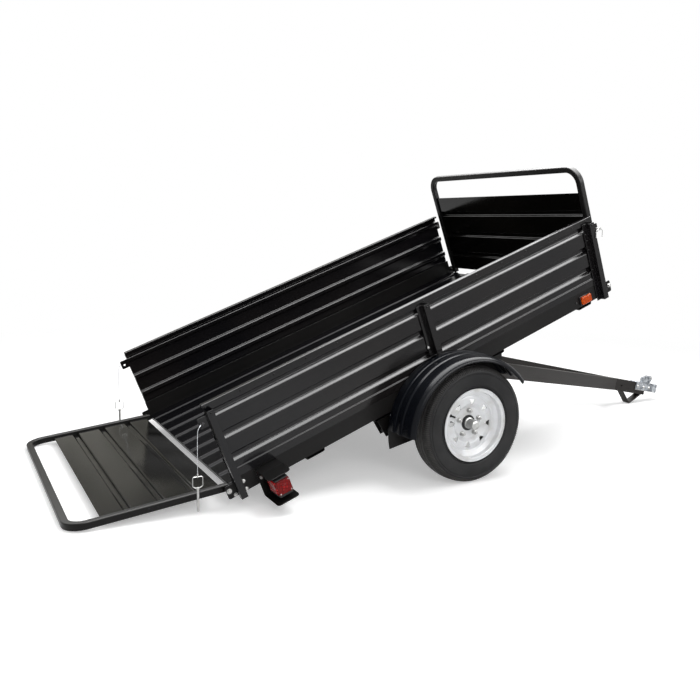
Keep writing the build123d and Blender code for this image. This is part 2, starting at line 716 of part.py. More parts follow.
with BuildPart() as stub:
    with BuildSketch(Plane.YZ.offset(STUB_START)):
        Rectangle(STUB_WIDTH, TONGUE_DEPTH)
        Rectangle(STUB_WIDTH - 2 * TONGUE_WALL, TONGUE_DEPTH - 2 * TONGUE_WALL, mode=Mode.SUBTRACT)
    extrude(amount=STUB_END - STUB_START)
    with Locations((CHAIN_HOLE_X, 0, CHAIN_HOLE_Z)):
        with Locations(Rotation(90, 0, 0)):
            Cylinder(CHAIN_HOLE_RADIUS, STUB_WIDTH + 10, mode=Mode.SUBTRACT)
keep(stub.part, "tongue_tube", TONGUE)

ball_x = COUPLER_END - COUPLER_NOSE
with BuildPart() as coupler:
    with BuildSketch(Plane.XY.offset(COUPLER_BOTTOM)):
        with Locations(((COUPLER_START + ball_x) / 2, 0)):
            Rectangle(ball_x - COUPLER_START, 2 * COUPLER_HALF)
        with Locations((ball_x, 0)):
            Circle(COUPLER_NOSE)
    extrude(amount=COUPLER_TOP - COUPLER_BOTTOM)
    fillet(coupler.edges().group_by(Axis.Z)[-1], 5)
    with Locations((ball_x, 0, COUPLER_BOTTOM + 8)):
        Sphere(BALL_RADIUS + BALL_GAP, mode=Mode.SUBTRACT)
    with BuildSketch(Plane.XY.offset(COUPLER_BOTTOM)):
        with Locations((ball_x, 0)):
            Circle(BALL_RADIUS + BALL_GAP)
    extrude(amount=8, mode=Mode.SUBTRACT)
    with Locations(((COUPLER_START + STUB_END) / 2 - 1, 0, 0)):
        Box(STUB_END - COUPLER_START + 4, STUB_WIDTH + 1, TONGUE_DEPTH + 1, mode=Mode.SUBTRACT)
keep(coupler.part, "coupler", TONGUE)

with BuildPart() as latch:
    with BuildSketch(Plane.XZ.offset(-11)):
        with BuildLine():
            Polyline(
                (1768, COUPLER_TOP),
                (1764, 74),
                (1790, 82),
                (1812, 92),
                (1846, 92),
                (1856, 74),
                (1838, COUPLER_TOP),
                close=True,
            )
        make_face()
    extrude(amount=22)
keep(latch.part, "coupler_latch", TONGUE)

with BuildPart() as foot:
    with BuildLine() as bend:
        FilletPolyline(
            (FOOT_BACK[0], 0, FOOT_BACK[1]),
            (FOOT_LOW[0], 0, FOOT_LOW[1] + FOOT_BAR / 2),
            (FOOT_FRONT[0], 0, FOOT_FRONT[1]),
            radius=FOOT_BEND - FOOT_BAR / 2,
        )
    with BuildSketch(Plane(origin=bend.wire() @ 0, z_dir=bend.wire() % 0)):
        Rectangle(FOOT_BAR, 50)
    sweep(path=bend.wire())
    with Locations((FOOT_LOW[0], 0, (100 - TONGUE_DEPTH) / 2)):
        Box(400, 60, 100, mode=Mode.SUBTRACT)
keep(foot.part, "tongue_foot", TONGUE)

# --- Gate pins and their lanyards ----------------------------------------------
rivet_x, rivet_z = bed_point(RIVET_U, RIVET_W)
rivet = Vector(rivet_x, TAB_FACE + RIVET_HEIGHT, rivet_z)
route = [rivet + Vector(*step) for step in LANYARD]
radii = []
for before, corner, after in zip(route, route[1:], route[2:]):
    half_turn = radians((corner - before).get_angle(after - corner)) / 2
    shorter = min((corner - before).length, (after - corner).length)
    radii.append(BEND_SHARE * shorter / tan(half_turn))
with BuildPart() as lanyard:
    with BuildLine() as wire:
        FilletPolyline(*route, radius=radii)
    with BuildSketch(Plane(origin=route[0], z_dir=(0, 1, 0))):
        Circle(WIRE_RADIUS)
    sweep(path=wire.wire())
keep_pair(lanyard.part, "lanyard_rear", Plane.XY)
wire_length = wire.wire().length
print("lanyard", round(wire_length, 1), "mm, bend radii", [round(radius, 1) for radius in radii])
print("tube volume over section times length", lanyard.part.volume / (pi * WIRE_RADIUS**2 * wire_length))

front_tab = POSTS[2]
front_hole_u = front_tab[0] + POST_WIDTH + front_tab[4] * TAB_HOLE_REACH
seat_x, seat_z = bed_point(front_hole_u, TAB_HOLE_W)
crimp_top = BAIL_HEIGHT - PIN_HEAD / 2 + CRIMP_LENGTH - 2 * BAIL_WIRE
GATE_PINS = (  # name, head, way and length of the shaft, way of the bail
    ("pin_rear", route[-1] - Vector(0, 0, crimp_top), Vector(0, 0, -1), LOCK_PIN_LENGTH, 1),
    ("pin_front", Vector(seat_x, SEATED_PIN_HEAD_Y, seat_z), Vector(0, -1, 0), SEATED_PIN_LENGTH, -1),
)
for name, head, way, length, bail_way in GATE_PINS:
    eye = head + way * (PIN_HEAD / 2)
    corners = [(PIN_HEAD_RADIUS - 2, 0), (BAIL_WIDTH / 2, BAIL_LEG), (BAIL_WIDTH / 2, BAIL_HEIGHT)]
    corners += [(-x, z) for x, z in reversed(corners)]
    with BuildPart() as pin:
        with BuildSketch(Plane(origin=head, z_dir=way)):
            Circle(PIN_HEAD_RADIUS)
        extrude(amount=PIN_HEAD)
        with BuildSketch(Plane(origin=head, z_dir=way)):
            Circle(LOCK_PIN_RADIUS)
        extrude(amount=PIN_HEAD + length)
        with BuildLine() as bail:
            FilletPolyline(*[eye + Vector(x, 0, bail_way * z) for x, z in corners], radius=BAIL_BEND)
        with BuildSketch(Plane(origin=bail.wire() @ 0, z_dir=bail.wire() % 0)):
            Circle(BAIL_WIRE)
        sweep(path=bail.wire())
        if bail_way > 0:
            with Locations(head + Vector(0, 0, crimp_top - CRIMP_LENGTH / 2)):
                Cylinder(CRIMP_RADIUS, CRIMP_LENGTH)
    keep_pair(pin.part, name, Plane.XY)

print("bed tilt", round(BED_TILT, 3), "ramp slope", round(RAMP_SLOPE, 3), "tongue pitch", round(TONGUE_PITCH, 3))
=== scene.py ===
"""Looks of a tilt-bed utility trailer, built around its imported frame.

Metres.  A piece is shaped in the axes of the bed, gate, tongue or wheel that it belongs to and is
then set in place, so that its object stays at the origin.
"""
import json
from math import atan2, cos, pi, radians, sin

import bmesh
import bpy
from mathutils import Matrix, Vector


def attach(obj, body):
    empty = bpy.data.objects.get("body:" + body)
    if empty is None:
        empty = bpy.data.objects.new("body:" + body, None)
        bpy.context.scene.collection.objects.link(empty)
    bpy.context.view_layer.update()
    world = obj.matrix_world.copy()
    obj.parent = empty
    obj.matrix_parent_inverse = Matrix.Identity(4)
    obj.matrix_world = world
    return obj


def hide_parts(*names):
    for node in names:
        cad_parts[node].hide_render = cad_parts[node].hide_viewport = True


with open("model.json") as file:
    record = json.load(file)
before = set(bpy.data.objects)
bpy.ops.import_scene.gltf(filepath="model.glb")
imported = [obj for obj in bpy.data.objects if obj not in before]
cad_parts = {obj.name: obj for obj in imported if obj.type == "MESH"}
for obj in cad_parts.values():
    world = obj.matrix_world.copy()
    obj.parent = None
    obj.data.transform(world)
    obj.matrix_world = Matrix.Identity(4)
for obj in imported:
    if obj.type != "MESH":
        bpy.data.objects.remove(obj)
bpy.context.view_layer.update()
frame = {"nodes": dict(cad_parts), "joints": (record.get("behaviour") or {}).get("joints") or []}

# --- Camera ---
# It stands off the trailer's right rear corner at the height of the load bed and looks forward
# along the right wall, so that the ramp, the inside of the bed and the wheel all show.
CAMERA_PLACE = Vector((-2.3048, -3.4239, 1.1368))
CAMERA_HEADING = radians(28.861)
CAMERA_DOWN = radians(9.372)
CAMERA_ROLL = radians(0.965)
CAMERA_LENS = 39.13
CAMERA_SENSOR = 36


def placed(name, data):
    """New object of the scene for a mesh, curve, lamp or camera."""
    thing = bpy.data.objects.new(name, data)
    bpy.context.scene.collection.objects.link(thing)
    return thing


camera_data = bpy.data.cameras.new("camera")
camera_data.lens = CAMERA_LENS
camera_data.sensor_width = CAMERA_SENSOR
camera = placed("camera", camera_data)
bpy.context.scene.camera = camera
camera.matrix_world = (
    Matrix.Translation(CAMERA_PLACE)
    @ Matrix.Rotation(-CAMERA_HEADING, 4, "Z")
    @ Matrix.Rotation(pi / 2 - CAMERA_DOWN, 4, "X")
    @ Matrix.Rotation(CAMERA_ROLL, 4, "Z")
)

# --- Rear lanyards ---
# Thin twisted-steel wires in a clear jacket.  Each is riveted to the tab of a rear post and hangs
# straight under the weight of the gate pin crimped to its lower end.
JOINTS = {joint["name"]: joint for joint in frame["joints"]}
SIDES = (("left", 1), ("right", -1))
REAR_HINGE = Vector((-0.022, 0, 0.012))
hinge_line = Vector(JOINTS["front_gate_hinge"]["pos_m"]) - Vector(JOINTS["rear_gate_hinge"]["pos_m"])
BED_TILT = atan2(hinge_line.z, hinge_line.x)
BED = (
    Matrix.Translation(JOINTS["rear_gate_hinge"]["pos_m"])
    @ Matrix.Rotation(-BED_TILT, 4, "Y")
    @ Matrix.Translation(-REAR_HINGE)
)


class Shade:
    """A socket of a material: arithmetic on it adds Math nodes, and add() adds any other node."""

    def __init__(self, tree, socket):
        self.tree = tree
        self.socket = socket

    def add(self, kind, settings, sockets, output=0):
        node = self.tree.nodes.new(kind)
        for name, value in settings.items():
            if name == "stops":
                ramp = node.color_ramp
                while len(ramp.elements) < len(value):
                    ramp.elements.new(1)
                for element, (position, grey) in zip(ramp.elements, value):
                    element.position = position
                    element.color = (grey, grey, grey, 1)
            else:
                setattr(node, name, value)
        for name, value in sockets.items():
            if isinstance(value, Shade):
                self.tree.links.new(value.socket, node.inputs[name])
            else:
                node.inputs[name].default_value = value
        return Shade(self.tree, node.outputs[output])

    def maths(self, operation, first, second):
        """Math node in this shade's material, between any two shades or numbers."""
        return self.add("ShaderNodeMath", {"operation": operation}, {0: first, 1: second})

    def __add__(self, other):
        return self.maths("ADD", self, other)

    def __radd__(self, other):
        return self.maths("ADD", other, self)

    def __sub__(self, other):
        return self.maths("SUBTRACT", self, other)

    def __rsub__(self, other):
        return self.maths("SUBTRACT", other, self)

    def __mul__(self, other):
        return self.maths("MULTIPLY", self, other)

    def __rmul__(self, other):
        return self.maths("MULTIPLY", other, self)

    def noise(self, scale, detail=3):
        """Cloudy value from 0 to 1, scale lumps to the metre."""
        return self.add("ShaderNodeTexNoise", {}, {"Vector": self, "Scale": scale, "Detail": detail})

    def steps(self, *stops):
        """This value through a ramp of (position, grey) stops."""
        return self.add("ShaderNodeValToRGB", {"stops": stops}, {0: self})

    def along(self, axis):
        """One coordinate of this place."""
        return self.add("ShaderNodeSeparateXYZ", {}, {"Vector": self}, axis)

    def blend(self, low, high):
        """Colour from low to high as this value goes from 0 to 1."""
        return self.add("ShaderNodeMix", {"data_type": "RGBA"}, {0: self, 6: low, 7: high}, 2)

    def bump(self, distance, strength=1.0):
        """Normal of a surface that this value raises."""
        raised = {"Height": self, "Distance": distance, "Strength": strength}
        return self.add("ShaderNodeBump", {}, raised)


def rgb(red, green, blue):
    return (red, green, blue, 1)


def new_finish(name, **constants):
    """Principled material with its constant sockets set, and the Object coordinates in it."""
    material = bpy.data.materials.new(name)
    material.use_nodes = True
    tree = material.node_tree
    shader = tree.nodes["Principled BSDF"]
    for socket, value in constants.items():
        shader.inputs[socket.replace("_", " ")].default_value = value
    return material, Shade(tree, tree.nodes.new("ShaderNodeTexCoord").outputs["Object"])


def vary(material, **sockets):
    """Feed a material's shader with what changes over the surface."""
    shader = material.node_tree.nodes["Principled BSDF"]
    for socket, shade in sockets.items():
        material.node_tree.links.new(shade.socket, shader.inputs[socket.replace("_", " ")])


LANYARD_WIRE = 0.0024
RIVET_FACE = Vector((-0.026, 0.6765, 0.322))
LANYARD_ROUTE = (  # forward, outward and up from the rivet's face
    (0, 0, 0),
    (0, 0.009, 0),
    (-0.007, 0.015, -0.005),
    (-0.014, 0.016, -0.014),
    (-0.018, 0.015, -0.030),
    (-0.019, 0.014, -0.180),
    (-0.019, 0.014, -0.192),
)
STRAND_TURNS = 900
STRAND_DEPTH = 0.0002
wire_finish, place = new_finish("twisted_wire", Metallic=0.85, Coat_Weight=0.6)
strands = place.add(
    "ShaderNodeTexWave",
    {"wave_type": "BANDS", "bands_direction": "DIAGONAL"},
    {"Vector": place, "Scale": STRAND_TURNS, "Distortion": 0.4},
)
vary(
    wire_finish,
    # painted shade: the bands darken the grooves between the strands, which the bump leaves low
    Base_Color=strands.blend(rgb(0.30, 0.31, 0.33), rgb(0.62, 0.63, 0.65)),
    Roughness=0.30 + 0.18 * place.noise(300),
    Normal=strands.bump(STRAND_DEPTH, 0.6),
)
lanyards = {}
for side, sign in SIDES:
    rivet = BED @ Vector((RIVET_FACE.x, sign * RIVET_FACE.y, RIVET_FACE.z))
    route = bpy.data.curves.new(f"lanyard_wire_{side}", "CURVE")
    route.dimensions = "3D"
    route.bevel_depth = LANYARD_WIRE / 2
    route.bevel_resolution = 3
    route.resolution_u = 8
    route.use_fill_caps = True
    line = route.splines.new("NURBS")
    line.points.add(len(LANYARD_ROUTE) - 1)
    for point, (forward, outward, up) in zip(line.points, LANYARD_ROUTE):
        point.co = (*(rivet + Vector((forward, sign * outward, up))), 1)
    line.order_u = 3
    line.use_endpoint_u = True
    route.materials.append(wire_finish)
    wire = placed(f"lanyard_wire_{side}", route)
    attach(wire, "bed")
    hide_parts(f"lanyard_rear_{side}")
    lanyards[side] = (wire, rivet)

# --- Gate pins ---
# Turned steel pins, zinc plated, each with a sprung wire bail through its head.  The rear two hang
# from their lanyards while the ramp is down and the front two lock the upright gate.
SEAM = 1e-5
FLAT_ANGLE = radians(0.5)
SOFT_ANGLE = 30
PIN_EDGE = 0.0006


def creases(shape, degrees):
    """Edges along which a shape turns by more than the given angle."""
    folded = []
    for edge in shape.edges:
        if edge.is_manifold and edge.calc_face_angle() > radians(degrees):
            folded.append(edge)
    return folded


def round_over(shape, parts, width, segments, affect="EDGES", clamp=False):
    """Round some edges or corners of a shape to the given width."""
    bmesh.ops.bevel(
        shape,
        geom=parts,
        offset=width,
        offset_type="OFFSET",
        segments=segments,
        profile=0.5,
        affect=affect,
        clamp_overlap=clamp,
        material=-1,
    )


def softened(node, width):
    """Copy of a CAD node with its seams merged and its corners rounded to the given width."""
    shape = bmesh.new()
    shape.from_mesh(frame["nodes"][node].data)
    bmesh.ops.remove_doubles(shape, verts=shape.verts, dist=SEAM)
    bmesh.ops.dissolve_limit(
        shape, angle_limit=FLAT_ANGLE, verts=shape.verts, edges=shape.edges
    )
    round_over(shape, creases(shape, SOFT_ANGLE), width, 2, clamp=True)
    return shape


def mesh_of(name, shape):
    """Mesh made of a shape, which is used up."""
    mesh = bpy.data.meshes.new(name)
    shape.to_mesh(mesh)
    shape.free()
    return mesh


def finished(name, shape, material, body, replaces=(), place=None, sharp=40):
    """Make a piece of a shape, set it in place and let it ride on its body."""
    if place is not None:
        shape.transform(place)
    mesh = mesh_of(name, shape)
    mesh.materials.append(material)
    mesh.shade_smooth()
    mesh.set_sharp_from_angle(angle=radians(sharp))
    piece = placed(name, mesh)
    weights = piece.modifiers.new("weighted normals", "WEIGHTED_NORMAL")
    weights.keep_sharp = True
    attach(piece, body)
    if replaces:
        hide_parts(*replaces)
    return piece


zinc_finish, place = new_finish("zinc_plate", Metallic=1.0)
cloud = place.noise(60)
vary(
    zinc_finish,
    Base_Color=cloud.blend(rgb(0.25, 0.25, 0.245), rgb(0.46, 0.46, 0.45)),
    Roughness=0.22 + 0.14 * cloud + 0.08 * place.noise(900, 1),
    Normal=place.noise(700, 2).bump(0.0002, 0.25),
)
for side, sign in SIDES:
    seated = f"pin_front_{side}"
    finished(f"{seated}_plated", softened(seated, PIN_EDGE), zinc_finish, "bed", [seated])
    hanging = frame["nodes"][f"pin_rear_{side}"]
    hanging.data.materials.clear()
    hanging.data.materials.append(zinc_finish)
    wire, rivet = lanyards[side]

# --- Chassis steel ---
# Folded steel angles along both sides, a sill across each end and four open-topped channels
# under the floor, welded into one frame and powder coated black with the brackets on it.


def powder_coat(name, deep, worn, gloss, sheen=0.25, peel=0.00025):
    """Sprayed and baked coat: orange peel, a breath of road dust and duller patches."""
    finish, place = new_finish(name, Specular_IOR_Level=sheen)
    dust = place.noise(2.2, 5).steps((0.30, 0), (0.85, 1))
    speck = place.noise(140, 2).steps((0.62, 0), (0.74, 1))
    vary(
        finish,
        Base_Color=(0.65 * dust + 0.25 * speck).blend(deep, worn),
        Roughness=gloss + 0.06 * dust + 0.03 * place.noise(45),
        Normal=(place.noise(520, 2) + 0.4 * place.noise(1600, 1)).bump(peel, 0.35),
    )
    return finish


def softened_pieces(nodes, width, material, body):
    """Stand a softened and coated copy in for each of the CAD nodes."""
    for node in nodes:
        finished(f"{node}_coated", softened(node, width), material, body, [node])


def sided(*names):
    """Left and right node names, side by side."""
    return [f"{name}_{side}" for name in names for side, sign in SIDES]


CHASSIS_FOLD = 0.0008
CHASSIS_NODES = sided("side_rail", "hangers", "hinge_brackets")
CHASSIS_NODES += ["rear_sill", "front_sill", "crossmembers", "pivot_brackets"]
chassis_coat = powder_coat(
    "chassis_coat",
    deep=rgb(0.0030, 0.0028, 0.0028),
    worn=rgb(0.010, 0.009, 0.0085),
    gloss=0.30,
    sheen=0.14,
)
softened_pieces(CHASSIS_NODES, CHASSIS_FOLD, chassis_coat, "bed")

# --- Load floor ---
# Two sheets of 1.6 mm steel with ten pressed ribs each.  They meet at mid length and lie on the
# channels below.
HALF_BED = 0.6665
SHEET = 0.0016
FLOOR_RIBS = 10
RIB_PITCH = 0.130
RIB_BASE = 0.044
RIB_TOP = 0.026
RIB_HEIGHT = 0.008
FLOOR_JOINT = 1.068
FLOOR_END = 2.122
FLOOR_GAP = 0.004
PRESS_RADIUS = 0.0035
FLOOR_SHEETS = (  # node, start, end
    ("floor_rear", 0.003, FLOOR_JOINT),
    ("floor_front", FLOOR_JOINT + 0.0005, FLOOR_END),
)
floor_coat = powder_coat(
    "floor_coat",
    deep=rgb(0.0014, 0.0014, 0.0024),
    worn=rgb(0.0050, 0.0045, 0.0050),
    gloss=0.16,
    sheen=0.045,
    peel=0.00010,
)


def shift(shape, vec, verts=None):
    """Move a shape or some of its corners."""
    bmesh.ops.translate(shape, vec=vec, verts=verts or shape.verts)


def pressed_sheet(section, run, bend):
    """Sheet with the given section, drawn along run and with its folds rounded."""
    shape = bmesh.new()
    line = [shape.verts.new(point) for point in section]
    edges = [shape.edges.new(ends) for ends in zip(line, line[1:])]
    drawn = bmesh.ops.extrude_edge_only(shape, edges=edges)["geom"]
    shift(shape, run, [part for part in drawn if isinstance(part, bmesh.types.BMVert)])
    folds = [edge for edge in shape.edges if edge.is_manifold]
    round_over(shape, folds, bend, 4, clamp=True)
    return shape


def facing(shape, direction):
    """Turn a sheet's faces to point in the given direction on the whole."""
    bmesh.ops.recalc_face_normals(shape, faces=shape.faces)
    total = sum((face.normal * face.calc_area() for face in shape.faces), Vector())
    if total.dot(Vector(direction)) < 0:
        bmesh.ops.reverse_faces(shape, faces=shape.faces)
    return shape


def thick_sheet(piece, thickness):
    """Give a sheet piece its thickness behind its faces, ahead of its weighted normals."""
    plate = piece.modifiers.new("thickness", "SOLIDIFY")
    plate.thickness = thickness
    plate.offset = -1
    plate.use_even_offset = True
    piece.modifiers.move(1, 0)


floor_section = [(0, -HALF_BED + FLOOR_GAP, 0)]
for number in range(FLOOR_RIBS):
    middle = (number - (FLOOR_RIBS - 1) / 2) * RIB_PITCH
    floor_section += [(0, middle - RIB_BASE / 2, 0), (0, middle - RIB_TOP / 2, RIB_HEIGHT)]
    floor_section += [(0, middle + RIB_TOP / 2, RIB_HEIGHT), (0, middle + RIB_BASE / 2, 0)]
floor_section.append((0, HALF_BED - FLOOR_GAP, 0))
for node, start, end in FLOOR_SHEETS:
    shape = facing(pressed_sheet(floor_section, (end - start, 0, 0), PRESS_RADIUS), (0, 0, 1))
    shift(shape, (start, 0, 0))
    sheet = finished(f"{node}_pressed", shape, floor_coat, "bed", [node], BED)
    thick_sheet(sheet, SHEET)

# --- Side walls ---
# One pressed steel sheet ahead of the middle post and one behind it on each side: three grooves
# for stiffness, a step over the side rail and a top edge folded inwards and down.
WALL_TOP = 0.385
WALL_LOW = 0.086
WALL_STEP = 0.003
WALL_STEP_RISE = 0.004
WALL_BOTTOM = 0.049
WALL_FOLD = 0.025
WALL_LIP = 0.010
GROOVES = ((0.115, 0.150), (0.217, 0.252), (0.321, 0.353))  # bottom, top
GROOVE_DEPTH = 0.013
GROOVE_SLOPE = 0.009
GROOVE_SHIFT = 0.003
GROOVE_BEND = 0.0022
WALL_BEND_ANGLE = 15
MIDDLE_POST = 1.0705
WALL_SHEETS = (  # node, start, end
    ("wall_rear", 0.006, MIDDLE_POST),
    ("wall_front", MIDDLE_POST + 0.0005, FLOOR_END),
)
bed_coat = powder_coat(
    "bed_coat",
    deep=rgb(0.0030, 0.0030, 0.0042),
    worn=rgb(0.0125, 0.0100, 0.0085),
    gloss=0.12,
    sheen=0.26,
    peel=0.00010,
)


def turn(shape, angle, axis):
    """Turn a shape about an axis through the origin."""
    bmesh.ops.rotate(shape, matrix=Matrix.Rotation(angle, 3, axis), verts=shape.verts)


def square(size):
    """Flat square of the given half width, to be shaped further."""
    shape = bmesh.new()
    bmesh.ops.create_grid(shape, x_segments=1, y_segments=1, size=size)
    return shape


def level_edges(shape, height):
    """Free edges of a shape that run level at the given height."""
    level = []
    for edge in shape.edges:
        if edge.is_boundary and all(abs(vert.co.z - height) < SEAM for vert in edge.verts):
            level.append(edge)
    return level


def grooved_wall(start, end):
    """Left wall sheet in the bed's axes, facing outwards."""
    middle = ((start + end) / 2, HALF_BED, (WALL_TOP + WALL_LOW) / 2)
    shape = square(0.5)
    bmesh.ops.scale(shape, vec=(end - start, WALL_TOP - WALL_LOW, 1), verts=shape.verts)
    turn(shape, -pi / 2, "X")
    shift(shape, middle)
    for height in [w for groove in GROOVES for w in groove]:
        everything = shape.verts[:] + shape.edges[:] + shape.faces[:]
        bmesh.ops.bisect_plane(shape, geom=everything, plane_co=(0, 0, height), plane_no=(0, 0, 1))
    facing(shape, (0, 1, 0))
    floors = []
    for face in shape.faces:
        if any(bottom < face.calc_center_median().z < top for bottom, top in GROOVES):
            floors.append(face)
    bmesh.ops.inset_region(
        shape,
        faces=floors,
        thickness=GROOVE_SLOPE,
        depth=-GROOVE_DEPTH,
        use_even_offset=True,
        use_boundary=False,
    )
    shift(shape, (0, 0, GROOVE_SHIFT), list({vert for face in floors for vert in face.verts}))
    skirt = WALL_BOTTOM - WALL_LOW + WALL_STEP_RISE
    folds = (  # edge at this height, steps outwards and upwards
        (WALL_LOW, ((WALL_STEP, -WALL_STEP_RISE), (0, skirt))),
        (WALL_TOP, ((-WALL_FOLD, 0), (0, -WALL_LIP))),
    )
    for height, steps in folds:
        edges = level_edges(shape, height)
        for outward, upward in steps:
            grown = bmesh.ops.extrude_edge_only(shape, edges=edges)["geom"]
            moved = [part for part in grown if isinstance(part, bmesh.types.BMVert)]
            shift(shape, (0, outward, upward), moved)
            edges = [edge for edge in level_edges(shape, moved[0].co.z) if edge in grown]
    facing(shape, (0, 1, 0))
    round_over(shape, creases(shape, WALL_BEND_ANGLE), GROOVE_BEND, 4, clamp=True)
    return shape


def with_mirror(shape):
    """A left-hand shape and its mirror image, each with the name of its side."""
    right = shape.copy()
    bmesh.ops.scale(right, vec=(1, -1, 1), verts=right.verts)
    bmesh.ops.reverse_faces(right, faces=right.faces)
    return (("left", shape), ("right", right))


def finished_pair(name, shape, material, node=None, body="bed", place=BED, sharp=40, sheet=0):
    """Make a left-hand piece and its mirror image on one body, with the sheet's thickness."""
    for side, form in with_mirror(shape):
        replaced = [f"{node}_{side}"] if node else []
        piece = finished(f"{name}_{side}", form, material, body, replaced, place, sharp)
        if sheet:
            thick_sheet(piece, sheet)


for node, start, end in WALL_SHEETS:
    shape = grooved_wall(start, end)
    finished_pair(
        f"{node}_pressed", shape, bed_coat, node, sharp=50, sheet=SHEET
    )

# --- Posts ---
# Channel uprights folded from 3 mm steel and bolted through the walls; the end posts carry a
# tab with a hole for the gate's pin.
POST_FOLD = 0.0016
softened_pieces(sided("posts"), POST_FOLD, bed_coat, "bed")

# --- Lamp guards ---
# Folded steel shelves bolted to the rails ahead of the rear posts.  A hood bends down over each
# lamp and a lip with rounded corners runs out below it.
GUARD_START = 0.106
GUARD_END = 0.206
GUARD_BOTTOM = -0.083
GUARD_TOP = 0.042
GUARD_REACH = 0.142
GUARD_BEND = 0.004
LIP_CORNER = 0.016
HOOD_BEND = 0.072
HOOD_DROP = 0.007
RAIL_FACE = 0.6679
GUARD_PLATE = 0.003
guard_out = RAIL_FACE + GUARD_REACH
guard_section = (
    (0, guard_out, GUARD_BOTTOM),
    (0, RAIL_FACE, GUARD_BOTTOM),
    (0, RAIL_FACE, GUARD_TOP),
    (0, RAIL_FACE + HOOD_BEND, GUARD_TOP),
    (0, guard_out, GUARD_TOP - HOOD_DROP),
)


def top_up(shape):
    """Turn a sheet's faces so that its highest one looks up."""
    bmesh.ops.recalc_face_normals(shape, faces=shape.faces)
    highest = max(shape.faces, key=lambda face: face.calc_center_median().z)
    if highest.normal.z < 0:
        bmesh.ops.reverse_faces(shape, faces=shape.faces)
    return shape


shape = top_up(pressed_sheet(guard_section, (GUARD_END - GUARD_START, 0, 0), GUARD_BEND))
shift(shape, (GUARD_START, 0, 0))
corners = [vert for vert in shape.verts if abs(vert.co.y - guard_out) < SEAM]
round_over(shape, corners, LIP_CORNER, 5, "VERTICES")
finished_pair(
    "lamp_guard_folded",
    shape,
    chassis_coat,
    "lamp_guard",
    sharp=50,
    sheet=GUARD_PLATE,
)

# --- Tail lamps ---
# Black moulded housings on a threaded stud.  A faceted red lens wraps the back and the outer
# side, with a raised reflector in the middle of its outer face.
LAMP_START = 0.130
LAMP_END = 0.190
LAMP_BOTTOM = -0.066
LAMP_TOP = 0.014
LAMP_IN = RAIL_FACE + 0.032
LAMP_OUT = RAIL_FACE + 0.132
LAMP_HOUSING = ((LAMP_START, LAMP_IN, LAMP_BOTTOM), (LAMP_END, LAMP_OUT - 0.006, LAMP_TOP))
LAMP_CORNER = 0.005
LAMP_STUD = (0.160, RAIL_FACE + GUARD_PLATE, -0.026)
LAMP_STUD_SIZE = (0.014, 0.030)  # radius, length
SIDE_LENS = (
    (LAMP_START - 0.001, LAMP_OUT - 0.010, -0.052),
    (LAMP_END + 0.001, LAMP_OUT + 0.001, 0.008),
)
BACK_LENS = (
    (LAMP_START - 0.005, LAMP_IN + 0.012, -0.052),
    (LAMP_START + 0.004, LAMP_OUT - 0.008, 0.008),
)
LENS_EDGE = 0.004
REFLECTOR = (
    (LAMP_START + 0.018, LAMP_OUT - 0.002, -0.034),
    (LAMP_END - 0.018, LAMP_OUT + 0.003, -0.012),
)
REFLECTOR_EDGE = 0.002
LENS_SCREWS = ((0.1355, -0.046), (0.1845, -0.046), (0.1845, 0.002))
LENS_SCREW_HEAD = (0.0026, 0.0014)  # radius, height
SCREW_SIDES = 16
OUTWARD = Vector((0, 1, 0))


def rounded_box(low, high, corner, segments=3):
    """Box between two corner points, its edges rounded."""
    shape = bmesh.new()
    bmesh.ops.create_cube(shape, size=1)
    bmesh.ops.scale(shape, vec=Vector(high) - Vector(low), verts=shape.verts)
    shift(shape, (Vector(low) + Vector(high)) / 2)
    round_over(shape, shape.edges[:], corner, segments)
    return shape


def merged(*shapes):
    """All the shapes in one."""
    whole = bmesh.new()
    for shape in shapes:
        spare = mesh_of("spare", shape)
        whole.from_mesh(spare)
        bpy.data.meshes.remove(spare)
    return whole


def disc_head(centre, direction, radius, height, sides=24, chamfer=0.25):
    """Fastener head or stud that stands on a face and points in a direction."""
    shape = bmesh.new()
    bmesh.ops.create_cone(
        shape, cap_ends=True, segments=sides, radius1=radius, radius2=radius, depth=height
    )
    shift(shape, (0, 0, height / 2))
    rim = [edge for edge in shape.edges if all(vert.co.z > height / 2 for vert in edge.verts)]
    round_over(shape, rim, chamfer * min(radius, height), 3)
    lean = Vector((0, 0, 1)).rotation_difference(direction).to_matrix()
    bmesh.ops.rotate(shape, matrix=lean, verts=shape.verts)
    shift(shape, centre)
    return shape


housing_finish, place = new_finish("lamp_housing", Specular_IOR_Level=0.2)
vary(
    housing_finish,
    Base_Color=place.noise(30).blend(rgb(0.010, 0.010, 0.010), rgb(0.028, 0.027, 0.027)),
    Roughness=0.45 + 0.15 * place.noise(80),
    Normal=place.noise(1500, 1).bump(0.0001, 0.3),
)
housing = merged(
    rounded_box(*LAMP_HOUSING, LAMP_CORNER), disc_head(LAMP_STUD, OUTWARD, *LAMP_STUD_SIZE)
)
finished_pair("tail_lamp_housing", housing, housing_finish, "tail_lamp")


def lens_plastic(name, deep, bright, pitch, painted_glow):
    """Moulded lens: small pyramids behind a clear outer face, with their light and shade painted
    bright in each middle and deep at the edges, and a painted glow in the same colour.
    """
    finish, place = new_finish(
        name, Specular_IOR_Level=0.10, Coat_Roughness=0.04, Emission_Strength=painted_glow
    )
    cells = place.add(
        "ShaderNodeTexVoronoi",
        {"distance": "CHEBYCHEV"},
        {"Vector": place, "Scale": 1 / pitch, "Randomness": 0.0},
    )
    depth = cells * 2.0
    # painted light and shade of the facets: bright in each pyramid's middle, deep at its edges
    painted_facet_light = depth.blend(bright, deep)
    vary(
        finish,
        Base_Color=painted_facet_light,
        Roughness=0.08 + 0.06 * place.noise(60),
        Coat_Weight=0.05 + 0.05 * place.noise(20),
        # painted glow: the lens gives off a little light in its own facet colours
        Emission_Color=painted_facet_light,
        Normal=depth.bump(0.0012, 0.7),
    )
    return finish


